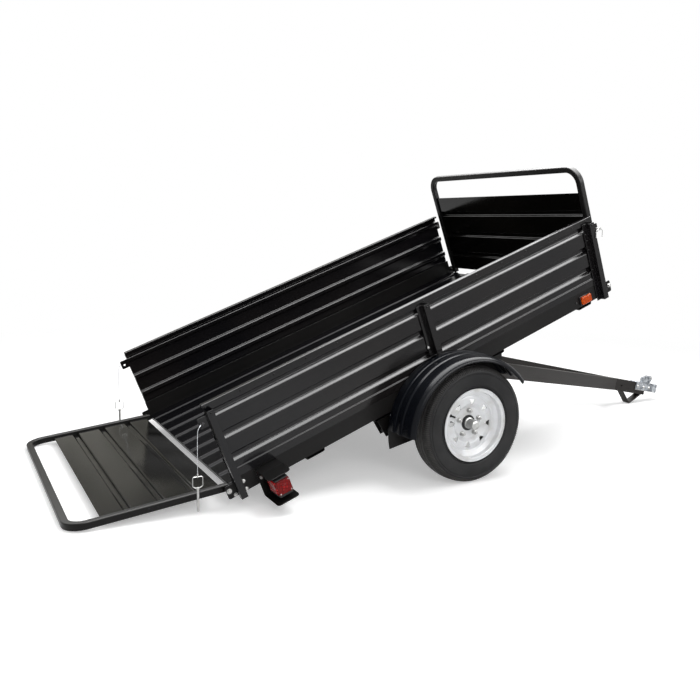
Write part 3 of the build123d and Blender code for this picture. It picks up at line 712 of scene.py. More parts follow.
red_lens = lens_plastic(
    "red_lens",
    deep=rgb(0.060, 0.0008, 0.0012),
    bright=rgb(0.42, 0.004, 0.004),
    pitch=0.013,
    painted_glow=0.25,
)
lens = merged(rounded_box(*SIDE_LENS, LENS_EDGE), rounded_box(*BACK_LENS, LENS_EDGE))
finished_pair("tail_lamp_lens", lens, red_lens)
reflector = rounded_box(*REFLECTOR, REFLECTOR_EDGE)
finished_pair("tail_lamp_reflector", reflector, red_lens)
screws = [
    disc_head((u, SIDE_LENS[1][1], w), OUTWARD, *LENS_SCREW_HEAD, SCREW_SIDES)
    for u, w in LENS_SCREWS
]
finished_pair("tail_lamp_screws", merged(*screws), zinc_finish, sharp=30)

# --- Side markers ---
# Amber clearance lamps near the front of the side rails: a black base, a screw and a domed lens.
MARKER_BASE = ((1.941, RAIL_FACE, -0.017), (2.013, RAIL_FACE + 0.006, 0.029))
MARKER_BASE_EDGE = 0.0025
MARKER_DOME = ((1.944, 0.6715, -0.014), (2.010, 0.6859, 0.026))
MARKER_DOME_EDGE = 0.0055
MARKER_SCREW = (1.918, RAIL_FACE, 0.006)
MARKER_SCREW_HEAD = (0.005, 0.003)  # radius, height
amber_lens = lens_plastic(
    "amber_lens",
    deep=rgb(0.30, 0.022, 0.001),
    bright=rgb(0.82, 0.145, 0.004),
    pitch=0.011,
    painted_glow=0.12,
)
base = merged(
    rounded_box(*MARKER_BASE, MARKER_BASE_EDGE),
    disc_head(MARKER_SCREW, OUTWARD, *MARKER_SCREW_HEAD),
)
finished_pair("side_marker_base", base, housing_finish, "side_marker")
dome = rounded_box(*MARKER_DOME, MARKER_DOME_EDGE, 4)
finished_pair("side_marker_lens", dome, amber_lens)

# --- Bolts and screws ---
# Zinc hexagon bolts hold the posts, hinge plates and lamp guards.  Black button-head screws pin
# the hem along the top of each wall and the posts' flanges.
WALL_FACE = HALF_BED + WALL_STEP
FLANGE_FACE = WALL_FACE + 0.003
HINGE_FACE = RAIL_FACE + 0.003
ZINC_BOLTS = (  # place forward, face, height, head radius
    (0.046, HINGE_FACE, 0.022, 0.0065),
    (0.046, HINGE_FACE, -0.014, 0.0065),
    (-0.002, HINGE_FACE, -0.015, 0.0065),
    (-0.022, HINGE_FACE + 0.002, 0.012, 0.0085),
    (2.084, HINGE_FACE, 0.023, 0.0065),
    (2.085, HINGE_FACE, -0.010, 0.0065),
    (2.146, HINGE_FACE + 0.002, 0.012, 0.0085),
    (1.034, FLANGE_FACE, 0.165, 0.0050),
    (1.094, WALL_FACE - 0.003, 0.160, 0.0050),
    (0.120, RAIL_FACE + GUARD_PLATE, -0.002, 0.0060),
    (0.192, RAIL_FACE + GUARD_PLATE, -0.002, 0.0060),
)
BLACK_SCREWS = (
    (1.041, FLANGE_FACE, 0.288, 0.0045),
    (2.064, FLANGE_FACE, 0.310, 0.0045),
    (2.064, FLANGE_FACE, 0.279, 0.0045),
    (2.064, FLANGE_FACE, 0.232, 0.0045),
    (2.064, FLANGE_FACE, 0.128, 0.0045),
    (0.0225, HALF_BED + 0.031, 0.350, 0.0040),
    (2.0925, HALF_BED + 0.031, 0.350, 0.0040),
    (1.0705, HALF_BED + 0.031, 0.348, 0.0040),
)
HEM_SCREWS = 14
HEM_START = 0.0165
HEM_PITCH = 0.152
HEM_W = 0.370
HEM_HEAD = (0.0042, 0.0018)  # radius, height
HEM_NUT = (0.0050, 0.0020)
WASHER = 0.0012
SCREW_HEIGHT = 0.0025
DOMED = 0.8  # share of a head's height that is rounded


def stacked(centre, parts):
    """Round and hexagonal parts of a fastener, each starting so far out from a face."""
    heads = []
    for start, radius, height, sides in parts:
        heads.append(disc_head(Vector(centre) + start * OUTWARD, OUTWARD, radius, height, sides))
    return heads


heads = []
for u, y, w, radius in ZINC_BOLTS:
    washer = (0, 1.3 * radius, WASHER, 24)
    hexagon = (WASHER, 0.9 * radius, 0.7 * radius, 6)
    heads += stacked((u, y, w), (washer, hexagon))
finished_pair("bed_bolts", merged(*heads), zinc_finish, sharp=30)
screws = []
for u, y, w, radius in BLACK_SCREWS:
    screws.append(disc_head((u, y, w), OUTWARD, radius, SCREW_HEIGHT, SCREW_SIDES, DOMED))
for number in range(HEM_SCREWS):
    u = HEM_START + number * HEM_PITCH
    screws.append(disc_head((u, HALF_BED, HEM_W), OUTWARD, *HEM_HEAD, SCREW_SIDES, DOMED))
    screws.append(disc_head((u, HALF_BED - SHEET, HEM_W), -OUTWARD, *HEM_NUT, SCREW_SIDES, DOMED))
finished_pair("bed_screws", merged(*screws), chassis_coat, sharp=30)

# --- Springs and axle ---
# Square steel axle clamped to two three-leaf springs, whose eyes are bolted in the hangers.
SPRING_EDGE = 0.0006
AXLE_EDGE = 0.0012
SPRING_FACE = 0.6415
SPRING_BOLTS = ((0.735, -0.115), (1.395, -0.115))
SPRING_BOLT = (  # start, radius, height, sides of the washer, the head and the thread's end
    (0.0000, 0.0150, 0.0020, 24),
    (0.0020, 0.0110, 0.0080, 6),
    (0.0100, 0.0055, 0.0060, 20),
)
softened_pieces(sided("spring"), SPRING_EDGE, chassis_coat, "bed")
heads = [head for u, w in SPRING_BOLTS for head in stacked((u, SPRING_FACE, w), SPRING_BOLT)]
finished_pair("spring_bolts", merged(*heads), chassis_coat, sharp=30)
softened_pieces(["axle"], AXLE_EDGE, chassis_coat, "bed")

# --- Tyres ---
# Small trailer tyres: four straight grooves round the tread, short cuts across the shoulders and
# fine rings moulded into the sidewalls.
TYRE_STEPS = 360
SHOULDER_IN = 0.0335
SHOULDER_RADIUS = 0.2460
CUT_DEPTH = 0.006
CUT_SLOPE = 0.0006
TREAD_START = 0.2455
DOUBLE = 1e-6
TYRE_PROFILE = (  # outwards from the middle, radius
    (0.0455, 0.1534), (0.0500, 0.1600), (0.0522, 0.1700), (0.0552, 0.1724),
    (0.0556, 0.1752), (0.0536, 0.1772), (0.0566, 0.1800), (0.0592, 0.1930),
    (0.0606, 0.2080), (0.0610, 0.2200), (0.0604, 0.2310), (0.0584, 0.2330),
    (0.0582, 0.2362), (0.0598, 0.2382), (0.0580, 0.2450), (0.0535, 0.2535),
    (0.0490, 0.2580), (0.0445, 0.2612), (0.0330, 0.2638), (0.0322, 0.2580),
    (0.0268, 0.2582), (0.0260, 0.2648), (0.0135, 0.2660), (0.0127, 0.2600),
    (0.0073, 0.2600), (0.0065, 0.2664), (0.0000, 0.2665),
)
TYRE_INSIDE = (
    (0.0400, 0.1534), (0.0440, 0.1800), (0.0500, 0.2150), (0.0380, 0.2480),
    (0.0000, 0.2485),
)


def both_ways(half):
    """Half section of (outwards, radius) points, carried on through its mirror image."""
    return list(half) + [(-outward, radius) for outward, radius in reversed(half) if outward]


def spun(points, axis, angle, steps, closed=False):
    """Swing a section of points round an axis, part of the way or in a full circle."""
    shape = bmesh.new()
    line = [shape.verts.new(point) for point in points]
    edges = [shape.edges.new(ends) for ends in zip(line, line[1:])]
    if closed:
        edges.append(shape.edges.new((line[-1], line[0])))
    bmesh.ops.spin(
        shape,
        geom=line + edges,
        cent=(0, 0, 0),
        axis=axis,
        dvec=(0, 0, 0),
        angle=angle,
        steps=steps,
        use_merge=angle == 2 * pi,
    )
    bmesh.ops.remove_doubles(shape, verts=shape.verts, dist=DOUBLE)
    return shape


def turned(profile, steps, closed=False):
    """Turn a profile of (outwards, radius) points round the wheel's axis."""
    points = [(0, outward, radius) for outward, radius in profile]
    shape = spun(points, OUTWARD, 2 * pi, steps, closed)
    bmesh.ops.recalc_face_normals(shape, faces=shape.faces)
    return shape


outline = both_ways(TYRE_PROFILE) + both_ways(TYRE_INSIDE)[::-1]
tyre = turned(outline, TYRE_STEPS, closed=True)
sectors = {}
for face in tyre.faces:
    middle = face.calc_center_median()
    if abs(middle.y) > SHOULDER_IN and Vector((middle.x, middle.z)).length > SHOULDER_RADIUS:
        sector = round(atan2(middle.z, middle.x) / (2 * pi) * TYRE_STEPS * 2)
        sectors.setdefault(sector, []).append(face)
cuts = [face for number, key in enumerate(sorted(sectors)) for face in sectors[key] if number % 2]
bmesh.ops.inset_region(
    tyre, faces=cuts, thickness=CUT_SLOPE, depth=-CUT_DEPTH, use_even_offset=True
)

AXLE = JOINTS["wheel_left_spin"]["pos_m"]
rubber, place = new_finish("tyre_rubber", Specular_IOR_Level=0.16)
film = place.noise(9, 5).steps((0.35, 0), (0.75, 1))
forward = place.along("X") - AXLE[0]
up = place.along("Z") - AXLE[2]
tread = film.maths("GREATER_THAN", forward * forward + up * up, TREAD_START * TREAD_START)
sidewall_tone = film.blend(rgb(0.006, 0.006, 0.0065), rgb(0.021, 0.0205, 0.021))
tread_tone = film.blend(rgb(0.034, 0.033, 0.033), rgb(0.060, 0.058, 0.056))
vary(
    rubber,
    Base_Color=tread.blend(sidewall_tone, tread_tone),
    Roughness=0.52 + 0.2 * film,
    Normal=(place.noise(260, 4) + 0.5 * place.noise(1200, 1)).bump(0.0004, 0.5),
)
WHEELS = {side: Matrix.Translation(JOINTS[f"wheel_{side}_spin"]["pos_m"]) for side, sign in SIDES}


def wheel_pair(name, shape, material, node=None, sharp=35):
    """Make the left wheel's piece and its mirror image, each in its own wheel's place."""
    for side, form in with_mirror(shape):
        replaced = [f"{node}_{side}"] if node else []
        wheel = f"wheel_{side}"
        finished(f"{name}_{side}", form, material, wheel, replaced, WHEELS[side], sharp)


wheel_pair("tyre_treaded", tyre, rubber, "tyre", 30)

# --- Rims ---
# White painted steel wheels: a rolled rim with a drop centre, and a pressed disc with eight
# three-cornered windows between its spokes, welded deep inside it.  Painted shade greys the
# inner side, behind the disc.
RIM_OUTSIDE = (
    (0.0595, 0.1640), (0.0592, 0.1660), (0.0575, 0.1665), (0.0545, 0.1662),
    (0.0512, 0.1640), (0.0508, 0.1545), (0.0490, 0.1524), (0.0290, 0.1519),
    (0.0255, 0.1500), (0.0185, 0.1335), (0.0150, 0.1318),
)
RIM_INSIDE = (
    (0.0575, 0.1634), (0.0545, 0.1620), (0.0540, 0.1510), (0.0520, 0.1495),
    (0.0295, 0.1490), (0.0205, 0.1300), (0.0170, 0.1288),
)
DISC_PROFILE = (
    (0.0040, 0.0360), (0.0040, 0.0700), (0.0052, 0.0730), (0.0165, 0.0860),
    (0.0195, 0.0900), (0.0200, 0.0945), (0.0182, 0.1080), (0.0150, 0.1200),
    (0.0135, 0.1240), (0.0165, 0.1270), (0.0185, 0.1294), (0.0100, 0.1294),
    (0.0095, 0.1260), (0.0110, 0.1190), (0.0150, 0.1060), (0.0160, 0.0940),
    (0.0150, 0.0905), (0.0020, 0.0745), (0.0005, 0.0710), (0.0005, 0.0360),
)
WINDOWS = 8
WINDOW_TURN = radians(-4)
WINDOW_CIRCLE = 0.100
WINDOW_SIZE = 0.0185
WINDOW_CORNER = 0.003
WINDOW_LIP = 0.0008
WINDOW_ANGLE = 50
PUNCH_LENGTH = 0.08
RIM_STEPS = 128
DISC_STEPS = 160
OUTER_FACE = 0.769  # from the trailer's middle to just inside the disc
VALVE_ANGLE = radians(157)
VALVE_RADIUS = 0.116
VALVE_LEAN = 0.35


def polar(radius, angle, outward=0.0):
    """Point of the wheel at an angle from forward towards up."""
    return Vector((radius * cos(angle), outward, radius * sin(angle)))


def cut_through(shape, tool):
    """Take the tool's volume out of the shape."""
    objects = []
    for name, form in (("blank", shape), ("cutter", tool)):
        objects.append(placed(name, mesh_of(name, form)))
    blank, cutter = objects
    difference = blank.modifiers.new("cut", "BOOLEAN")
    difference.operation = "DIFFERENCE"
    difference.object = cutter
    difference.solver = "EXACT"
    evaluated = blank.evaluated_get(bpy.context.evaluated_depsgraph_get())
    result = bmesh.new()
    result.from_mesh(evaluated.data)
    for solid in objects:
        mesh = solid.data
        bpy.data.objects.remove(solid)
        bpy.data.meshes.remove(mesh)
    return result


cutters = []
for number in range(WINDOWS):
    angle = WINDOW_TURN + number * 2 * pi / WINDOWS
    window = bmesh.new()
    bmesh.ops.create_cone(
        window,
        cap_ends=True,
        segments=3,
        radius1=WINDOW_SIZE,
        radius2=WINDOW_SIZE,
        depth=PUNCH_LENGTH,
    )
    upright = [edge for edge in window.edges if edge.calc_length() > 2 * WINDOW_SIZE]
    round_over(window, upright, WINDOW_CORNER, 4)
    turn(window, pi / 2, "Z")
    turn(window, pi / 2, "X")
    turn(window, -angle, "Y")
    shift(window, polar(WINDOW_CIRCLE, angle))
    cutters.append(window)
disc = cut_through(turned(DISC_PROFILE, DISC_STEPS, closed=True), merged(*cutters))
round_over(disc, creases(disc, WINDOW_ANGLE), WINDOW_LIP, 2, clamp=True)
white_paint, place = new_finish("white_wheel_paint", Specular_IOR_Level=0.35, Coat_Roughness=0.08)
grime = place.noise(14, 5).steps((0.48, 0), (0.8, 1))
across = place.along("Y")
# painted shade: everything nearer the trailer's middle than the disc is painted dark grey
painted_shade_side = across.maths("LESS_THAN", across * across, OUTER_FACE * OUTER_FACE)
clean = grime.blend(rgb(0.68, 0.69, 0.705), rgb(0.49, 0.48, 0.46))
painted_inner_shade = place.noise(9).blend(rgb(0.09, 0.085, 0.08), rgb(0.17, 0.165, 0.155))
vary(
    white_paint,
    Base_Color=painted_shade_side.blend(clean, painted_inner_shade),
    Roughness=0.24 + 0.18 * grime,
    Coat_Weight=0.16 - 0.1 * grime,
    Normal=place.noise(400, 2).bump(0.0002, 0.3),
)
rim_profile = both_ways(RIM_OUTSIDE) + both_ways(RIM_INSIDE)[::-1]
rim = turned(rim_profile, RIM_STEPS, closed=True)
wheel_pair("rim_rolled", rim, white_paint, "rim")
wheel_pair("rim_disc", disc, white_paint)
valve_lean = polar(-VALVE_LEAN, VALVE_ANGLE, 1.0)
valve = merged(
    disc_head(polar(VALVE_RADIUS, VALVE_ANGLE, 0.014), valve_lean, 0.0070, 0.005, 20),
    disc_head(polar(VALVE_RADIUS, VALVE_ANGLE, 0.017), valve_lean, 0.0042, 0.024, 16),
)
wheel_pair("valve_stem", valve, rubber)

# --- Hubs ---
# Black cast hubs through the middle of the discs.  Each is closed by a pressed zinc dust cap and
# holds its wheel by five studs with cone nuts.
HUB_STEPS = 72
STUDS = 5
STUD_CIRCLE = 0.05715
NUT = (  # start, radius, height, sides of the washer, the nut and the stud's end
    (0.0040, 0.0112, 0.0035, 24),
    (0.0075, 0.0108, 0.0125, 6),
    (0.0200, 0.0062, 0.0070, 20),
)
HUB_PROFILE = (
    (-0.048, 0.0128), (-0.048, 0.0260), (-0.047, 0.0270), (-0.014, 0.0300),
    (-0.008, 0.0340), (-0.006, 0.0690), (-0.005, 0.0700), (0.0000, 0.0700),
    (0.0005, 0.0350), (0.0070, 0.0350), (0.0080, 0.0338), (0.0080, 0.0250),
    (0.0080, 0.0128),
)
CAP_PROFILE = (
    (0.0080, 0.0230), (0.0080, 0.0250), (0.0090, 0.0256), (0.0150, 0.0256),
    (0.0162, 0.0245), (0.0170, 0.0222), (0.0300, 0.0220), (0.0560, 0.0214),
    (0.0605, 0.0200), (0.0632, 0.0165), (0.0640, 0.0120), (0.0640, 0.0000),
)
hub_black = powder_coat(
    "hub_black", deep=rgb(0.012, 0.012, 0.013), worn=rgb(0.05, 0.05, 0.05), gloss=0.38
)
hub = turned(HUB_PROFILE, HUB_STEPS, closed=True)
wheel_pair("hub_cast", hub, hub_black, "hub")
cap_and_nuts = [turned(CAP_PROFILE, HUB_STEPS)]
for number in range(STUDS):
    angle = pi / 2 + number * 2 * pi / STUDS
    cap_and_nuts += stacked(polar(STUD_CIRCLE, angle), NUT)
wheel_pair("hub_cap_and_nuts", merged(*cap_and_nuts), zinc_finish)

# --- Fenders ---
# Pressed steel arches with two ridges and a thick rolled outer lip, welded to a flat web that
# stands at the side of the bed.
FENDER_CENTRE = Vector((1.040, 0, -0.228))
FENDER_START = radians(18.5)
FENDER_END = radians(157)
WEB_START = radians(12)
WEB_END = radians(172)
FENDER_STEPS = 96
FENDER_SECTION = (  # outwards, radius
    (0.6745, 0.3450), (0.6900, 0.3450), (0.6980, 0.3455), (0.7020, 0.3478),
    (0.7060, 0.3500), (0.7160, 0.3505), (0.7260, 0.3500), (0.7300, 0.3478),
    (0.7340, 0.3455), (0.7480, 0.3452), (0.7520, 0.3462), (0.7560, 0.3492),
    (0.7600, 0.3505), (0.7720, 0.3508), (0.7790, 0.3498), (0.7830, 0.3470),
    (0.7880, 0.3452), (0.8150, 0.3450), (0.8340, 0.3442), (0.8450, 0.3410),
    (0.8540, 0.3355), (0.8585, 0.3275), (0.8595, 0.3210), (0.8580, 0.3195),
    (0.8560, 0.3200),
)
FENDER_PLATE = 0.002
WEB_SECTION = ((0.6750, 0.2150), (0.6750, 0.3445))
ROLL_RADIUS = 0.0045
ROLL_CENTRE = (0.8553, 0.3232)
ROLL_SIDES = 14


def arched(section, start, end):
    """Sweep a section of (outwards, radius) points round the fender's centre."""
    points = [polar(radius, start, outward) for outward, radius in section]
    shape = spun(points, -OUTWARD, end - start, FENDER_STEPS)
    shift(shape, FENDER_CENTRE)
    return shape


fender_coat = powder_coat(
    "fender_coat",
    deep=rgb(0.0014, 0.0018, 0.0030),
    worn=rgb(0.005, 0.006, 0.009),
    gloss=0.20,
    sheen=0.11,
    peel=0.00015,
)
arch = top_up(arched(FENDER_SECTION, FENDER_START, FENDER_END))
finished_pair("fender_arch", arch, fender_coat, "fender", sheet=FENDER_PLATE)
ring = []
for number in range(ROLL_SIDES + 1):
    point = polar(ROLL_RADIUS, 2 * pi * number / ROLL_SIDES)
    ring.append((ROLL_CENTRE[0] + point.x, ROLL_CENTRE[1] + point.z))
roll = arched(ring, FENDER_START, FENDER_END)
bmesh.ops.holes_fill(roll, edges=[edge for edge in roll.edges if edge.is_boundary], sides=0)
bmesh.ops.recalc_face_normals(roll, faces=roll.faces)
finished_pair("fender_rolled_edge", roll, fender_coat, sharp=50)
web = facing(arched(WEB_SECTION, WEB_START, WEB_END), OUTWARD)
finished_pair("fender_web", web, chassis_coat, sheet=FENDER_PLATE)

# --- Gates ---
# Square steel tube bent to a hoop round a ribbed panel, hung on bolts through its two ends.  The
# rear gate is the ramp, lying on the ground, and the front one stands upright.
GATE_REACH = 0.624
GATE_HALF = 0.636
GATE_TUBE = 0.016
TUBE_HALF = 0.015
TUBE_CORNER = 0.0055
TUBE_WALL = 0.0018
GATE_BEND = 0.074
GATE_TAIL = 0.010
GATE_PANEL_START = 0.016
GATE_PANEL_END = 0.486
GATE_PANEL_Z = 0.005
GATE_CHANNELS = (0.118, 0.250, 0.382)
CHANNEL_HALF = 0.015
CHANNEL_SLOPE = 0.006
CHANNEL_DEPTH = 0.010
CHANNEL_BEND = 0.003
PANEL_TUCK = 0.001
GATE_SCREWS = (0.276, 0.311)
GATE_SCREW_HEAD = (0.0042, 0.0016)  # radius, height
RAMP_RANGE = JOINTS["rear_gate_hinge"]["range_deg"]
ramp_slope = radians(RAMP_RANGE[1] - 90) + BED_TILT
REAR_GATE = (
    Matrix.Translation(JOINTS["rear_gate_hinge"]["pos_m"])
    @ Matrix.Rotation(-ramp_slope, 4, "Y")
    @ Matrix.Rotation(pi, 4, "Z")
)
FRONT_GATE = (
    Matrix.Translation(JOINTS["front_gate_hinge"]["pos_m"])
    @ Matrix.Rotation(-BED_TILT - pi / 2, 4, "Y")
)


def bent_tube():
    """Hoop of square tube in a gate's axes, from one hinge end round to the other."""
    shape = square(TUBE_HALF)
    round_over(shape, shape.verts[:], TUBE_CORNER, 6, "VERTICES")
    bmesh.ops.delete(shape, geom=shape.faces[:], context="FACES_ONLY")
    turn(shape, pi / 2, "Y")
    side = GATE_HALF - GATE_TUBE
    far = GATE_REACH - GATE_TUBE
    shift(shape, (-GATE_TAIL, -side, 0))
    loop = shape.edges[:]
    runs = (  # straight run, then the centre of the bend after it
        ((far - GATE_BEND + GATE_TAIL, 0, 0), (far - GATE_BEND, -side + GATE_BEND, 0)),
        ((0, 2 * (side - GATE_BEND), 0), (far - GATE_BEND, side - GATE_BEND, 0)),
        ((-(far - GATE_BEND + GATE_TAIL), 0, 0), None),
    )
    for run, centre in runs:
        grown = bmesh.ops.extrude_edge_only(shape, edges=loop)["geom"]
        loop = [part for part in grown if isinstance(part, bmesh.types.BMEdge)]
        ring = [part for part in grown if isinstance(part, bmesh.types.BMVert)]
        loop = [edge for edge in loop if edge.is_boundary and all(vert in ring for vert in edge.verts)]
        shift(shape, run, ring)
        if centre:
            bent = bmesh.ops.spin(
                shape,
                geom=loop,
                cent=centre,
                axis=(0, 0, 1),
                dvec=(0, 0, 0),
                angle=pi / 2,
                steps=14,
            )["geom_last"]
            loop = [part for part in bent if isinstance(part, bmesh.types.BMEdge)]
    bmesh.ops.remove_doubles(shape, verts=shape.verts, dist=DOUBLE)
    bmesh.ops.recalc_face_normals(shape, faces=shape.faces)
    return shape


tube_face = GATE_HALF - GATE_TUBE + TUBE_HALF
panel_section = [(GATE_PANEL_START, 0, GATE_PANEL_Z)]
for middle in GATE_CHANNELS:
    panel_section += [
        (middle - CHANNEL_HALF, 0, GATE_PANEL_Z),
        (middle - CHANNEL_HALF + CHANNEL_SLOPE, 0, GATE_PANEL_Z - CHANNEL_DEPTH),
        (middle + CHANNEL_HALF - CHANNEL_SLOPE, 0, GATE_PANEL_Z - CHANNEL_DEPTH),
        (middle + CHANNEL_HALF, 0, GATE_PANEL_Z),
    ]
panel_section.append((GATE_PANEL_END, 0, GATE_PANEL_Z))
panel_half = GATE_HALF - GATE_TUBE - TUBE_HALF + PANEL_TUCK
gate_coat = powder_coat(
    "gate_coat",
    deep=rgb(0.0014, 0.0014, 0.0012),
    worn=rgb(0.007, 0.0062, 0.0048),
    gloss=0.09,
    peel=0.00008,
)
for gate, frame_place in (("rear_gate", REAR_GATE), ("front_gate", FRONT_GATE)):
    hoop = finished(
        f"{gate}_hoop", bent_tube(), chassis_coat, gate, [f"{gate}_frame"], frame_place
    )
    thick_sheet(hoop, TUBE_WALL)
    panel = pressed_sheet(panel_section, (0, 2 * panel_half, 0), CHANNEL_BEND)
    facing(panel, (0, 0, 1))
    shift(panel, (0, -panel_half, 0))
    sheet = finished(
        f"{gate}_pressed", panel, gate_coat, gate, [f"{gate}_panel"], frame_place
    )
    thick_sheet(sheet, SHEET)
    heads = []
    for x in GATE_SCREWS:
        for side in (-1, 1):
            face = (x, side * tube_face, 0)
            heads.append(disc_head(face, side * OUTWARD, *GATE_SCREW_HEAD, SCREW_SIDES, DOMED))
    finished(f"{gate}_screws", merged(*heads), chassis_coat, gate, (), frame_place, 30)

# --- Tongue ---
# Two box-section arms that meet at a short tube, pivoted under the bed, with a bent flat bar as
# a foot.  Satin dark bronze-grey powder coat.
RAIL_CORNER = 0.003
TONGUE_EDGE = 0.002
tongue_coat = powder_coat(
    "tongue_coat",
    deep=rgb(0.012, 0.0105, 0.0095),
    worn=rgb(0.028, 0.0245, 0.022),
    gloss=0.42,
    sheen=0.14,
)
softened_pieces(sided("tongue_rail"), RAIL_CORNER, tongue_coat, "tongue")
softened_pieces(["tongue_tube", "tongue_foot"], TONGUE_EDGE, tongue_coat, "tongue")

# --- Coupler ---
# Pressed steel ball coupler with a lever latch, zinc plated and bolted over the tongue tube.  Its
# sides are flanged along the bottom and held by three domed bolts each.
TONGUE_PITCH = radians(11.763)
TONGUE = Matrix.Translation(JOINTS["tongue_tilt"]["pos_m"]) @ Matrix.Rotation(TONGUE_PITCH, 4, "Y")
COUPLER_FLANGE = ((1.690, 0.0270, -0.0120), (1.877, 0.0325, -0.0085))
FLANGE_EDGE = 0.0012
COUPLER_SIDE = 0.0285
COUPLER_BOLTS = (1.712, 1.768, 1.822)
COUPLER_BOLT_W = 0.013
COUPLER_BOLT_HEAD = (0.0095, 0.0035)  # radius, height
COUPLER_BOLT_DOME = 0.9
LATCH_PIVOT = (1.838, 0.011, 0.078)
LATCH_PIVOT_HEAD = (0.0070, 0.0050)
coupler_zinc, place = new_finish("coupler_zinc", Metallic=1.0)
mottle = place.noise(55, 4).steps((0.36, 0), (0.66, 1))
vary(
    coupler_zinc,
    Base_Color=mottle.blend(rgb(0.11, 0.12, 0.135), rgb(0.40, 0.42, 0.44)),
    Roughness=0.24 + 0.12 * mottle,
    Normal=place.noise(300, 3).bump(0.0006, 0.5),
)
for node in ("coupler", "coupler_latch"):
    shape = softened(node, TONGUE_EDGE)
    finished(f"{node}_plated", shape, coupler_zinc, "tongue", [node])
fittings = [rounded_box(*COUPLER_FLANGE, FLANGE_EDGE)]
for x in COUPLER_BOLTS:
    centre = (x, COUPLER_SIDE, COUPLER_BOLT_W)
    fittings.append(disc_head(centre, OUTWARD, *COUPLER_BOLT_HEAD, chamfer=COUPLER_BOLT_DOME))
fittings.append(disc_head(LATCH_PIVOT, OUTWARD, *LATCH_PIVOT_HEAD, 6))
fittings = merged(*fittings)
finished_pair("coupler_fittings", fittings, zinc_finish, body="tongue", place=TONGUE)

# --- Studio ---
# A wide white floor and a white surround.  Three soft lamps light the trailer evenly, and three
# broad ones show only as reflections and draw the bright lines along the pressed ribs.
FLOOR_SIZE = 60
FLOOR_WHITE_START = 2.4
FLOOR_WHITE_END = 5.0
FLOOR_LIFT = 0.36


def stage_piece(name, shape, material):
    """Make something of the studio that is no part of the trailer."""
    mesh = mesh_of(name, shape)
    mesh.materials.append(material)
    thing = placed(name, mesh)
    return thing


floor_finish, place = new_finish("studio_floor", Roughness=0.9, Specular_IOR_Level=0.0)
vary(floor_finish, Base_Color=place.noise(0.3).blend(rgb(0.86, 0.86, 0.86), rgb(0.88, 0.88, 0.88)))
distance = place.add("ShaderNodeVectorMath", {"operation": "LENGTH"}, {0: place}, "Value")
far = place.add(
    "ShaderNodeMapRange",
    {"interpolation_type": "SMOOTHSTEP"},
    {"Value": distance, "From Min": FLOOR_WHITE_START, "From Max": FLOOR_WHITE_END},
)
looks = place.add("ShaderNodeLightPath", {}, {}, "Is Camera Ray")
glossy = place.add("ShaderNodeLightPath", {}, {}, "Is Glossy Ray")
seen = looks + glossy
unlit = place.add("ShaderNodeEmission", {}, {"Strength": 0.0})
lift = place.add("ShaderNodeEmission", {}, {"Strength": FLOOR_LIFT})
white = place.add("ShaderNodeEmission", {}, {"Strength": 1.0})
tree = floor_finish.node_tree
lit = Shade(tree, tree.nodes["Principled BSDF"].outputs[0])
seen_lift = place.add("ShaderNodeMixShader", {}, {0: seen, 1: unlit, 2: lift})
lifted = place.add("ShaderNodeAddShader", {}, {0: lit, 1: seen_lift})
fade = place.add("ShaderNodeMixShader", {}, {0: far * seen, 1: lifted, 2: white})
tree.links.new(fade.socket, tree.nodes["Material Output"].inputs["Surface"])
stage_piece("studio_floor", square(FLOOR_SIZE / 2), floor_finish)

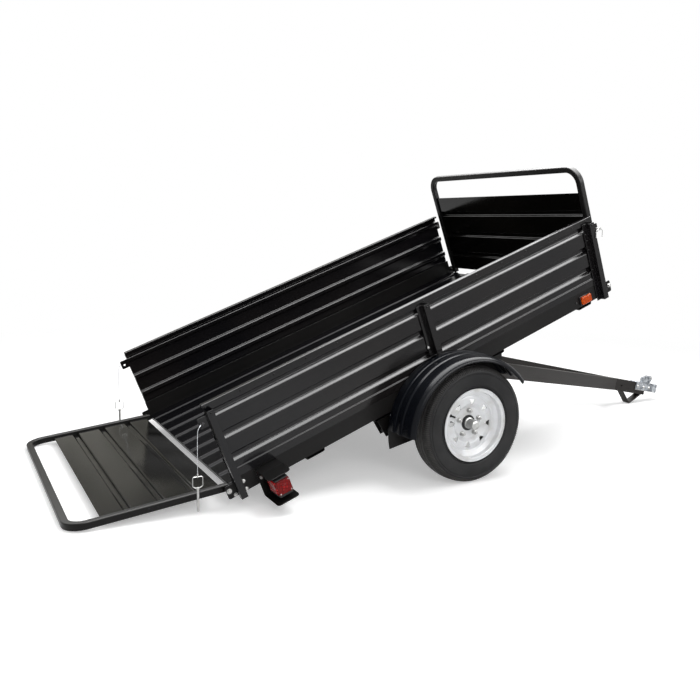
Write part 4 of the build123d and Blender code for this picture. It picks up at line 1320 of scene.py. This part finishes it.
WORLD_LIGHT = 0.5
world = bpy.data.worlds.new("studio")
bpy.context.scene.world = world
world.use_nodes = True
sky = world.node_tree.nodes["Background"]
sky.inputs["Color"].default_value = (1, 1, 1, 1)
paths = world.node_tree.nodes.new("ShaderNodeLightPath")
looking = Shade(world.node_tree, paths.outputs["Is Camera Ray"])
through = Shade(world.node_tree, paths.outputs["Is Transmission Ray"])
mirrored = Shade(world.node_tree, paths.outputs["Is Glossy Ray"])
seen_white = looking.maths("MAXIMUM", looking.maths("MAXIMUM", looking, through), mirrored)
brightness = WORLD_LIGHT + (1 - WORLD_LIGHT) * seen_white
world.node_tree.links.new(brightness.socket, sky.inputs["Strength"])

LAMPS = (  # name, place, aim, length, width, watts, lights dull surfaces too
    ("overhead", (0.4, -0.6, 3.6), (0.1, 0.0, 0.3), 3.0, 2.0, 105, True),
    ("near_side", (-1.5, -4.5, 2.6), (0.0, -0.6, 0.4), 2.5, 1.8, 62, True),
    ("far_side", (-2.5, 3.6, 2.8), (-0.3, 0.3, 0.4), 2.0, 1.2, 40, True),
    ("ceiling_sheen", (0.75, 0.0, 3.8), (0.75, 0.0, 0.0), 6.6, 5.4, 1700, False),
    ("front_sheen", (2.4, -5.8, 3.0), (0.0, -0.6, 0.5), 5.5, 2.2, 420, False),
    ("far_sheen", (1.5, 6.0, 4.3), (0.2, 0.0, 0.6), 8.0, 3.2, 175, False),
)
for name, lamp_place, aim, length, width, watts, dull in LAMPS:
    light = bpy.data.lights.new(name, "AREA")
    light.shape = "RECTANGLE"
    light.size = length
    light.size_y = width
    light.energy = watts
    lamp = placed(name, light)
    lamp.location = lamp_place
    lamp.rotation_euler = (Vector(aim) - Vector(lamp_place)).to_track_quat("-Z", "Y").to_euler()
    lamp.visible_diffuse = dull
    lamp.visible_camera = False

# A card with warm grey clouds stands beyond the trailer and shows only in the gates and walls.
CARD_LENGTH = 12
CARD_HEIGHT = 3.3
CARD_PLACE = (2.0, 5.0, CARD_HEIGHT / 2 + 0.05)
card_shape = square(0.5)
bmesh.ops.scale(card_shape, vec=(CARD_LENGTH, CARD_HEIGHT, 1), verts=card_shape.verts)
turn(card_shape, pi / 2, "X")
shift(card_shape, CARD_PLACE)
card_finish, place = new_finish("clouded_card", Specular_IOR_Level=0.0)
cloud = place.noise(1.5, 4).steps((0.38, 0), (0.62, 1))
vary(card_finish, Base_Color=cloud.blend(rgb(0.24, 0.235, 0.205), rgb(0.74, 0.72, 0.65)))
card = stage_piece("clouded_card", card_shape, card_finish)
card.visible_camera = False
card.visible_diffuse = False
card.visible_shadow = False
bpy.context.scene.view_settings.view_transform = "Standard"
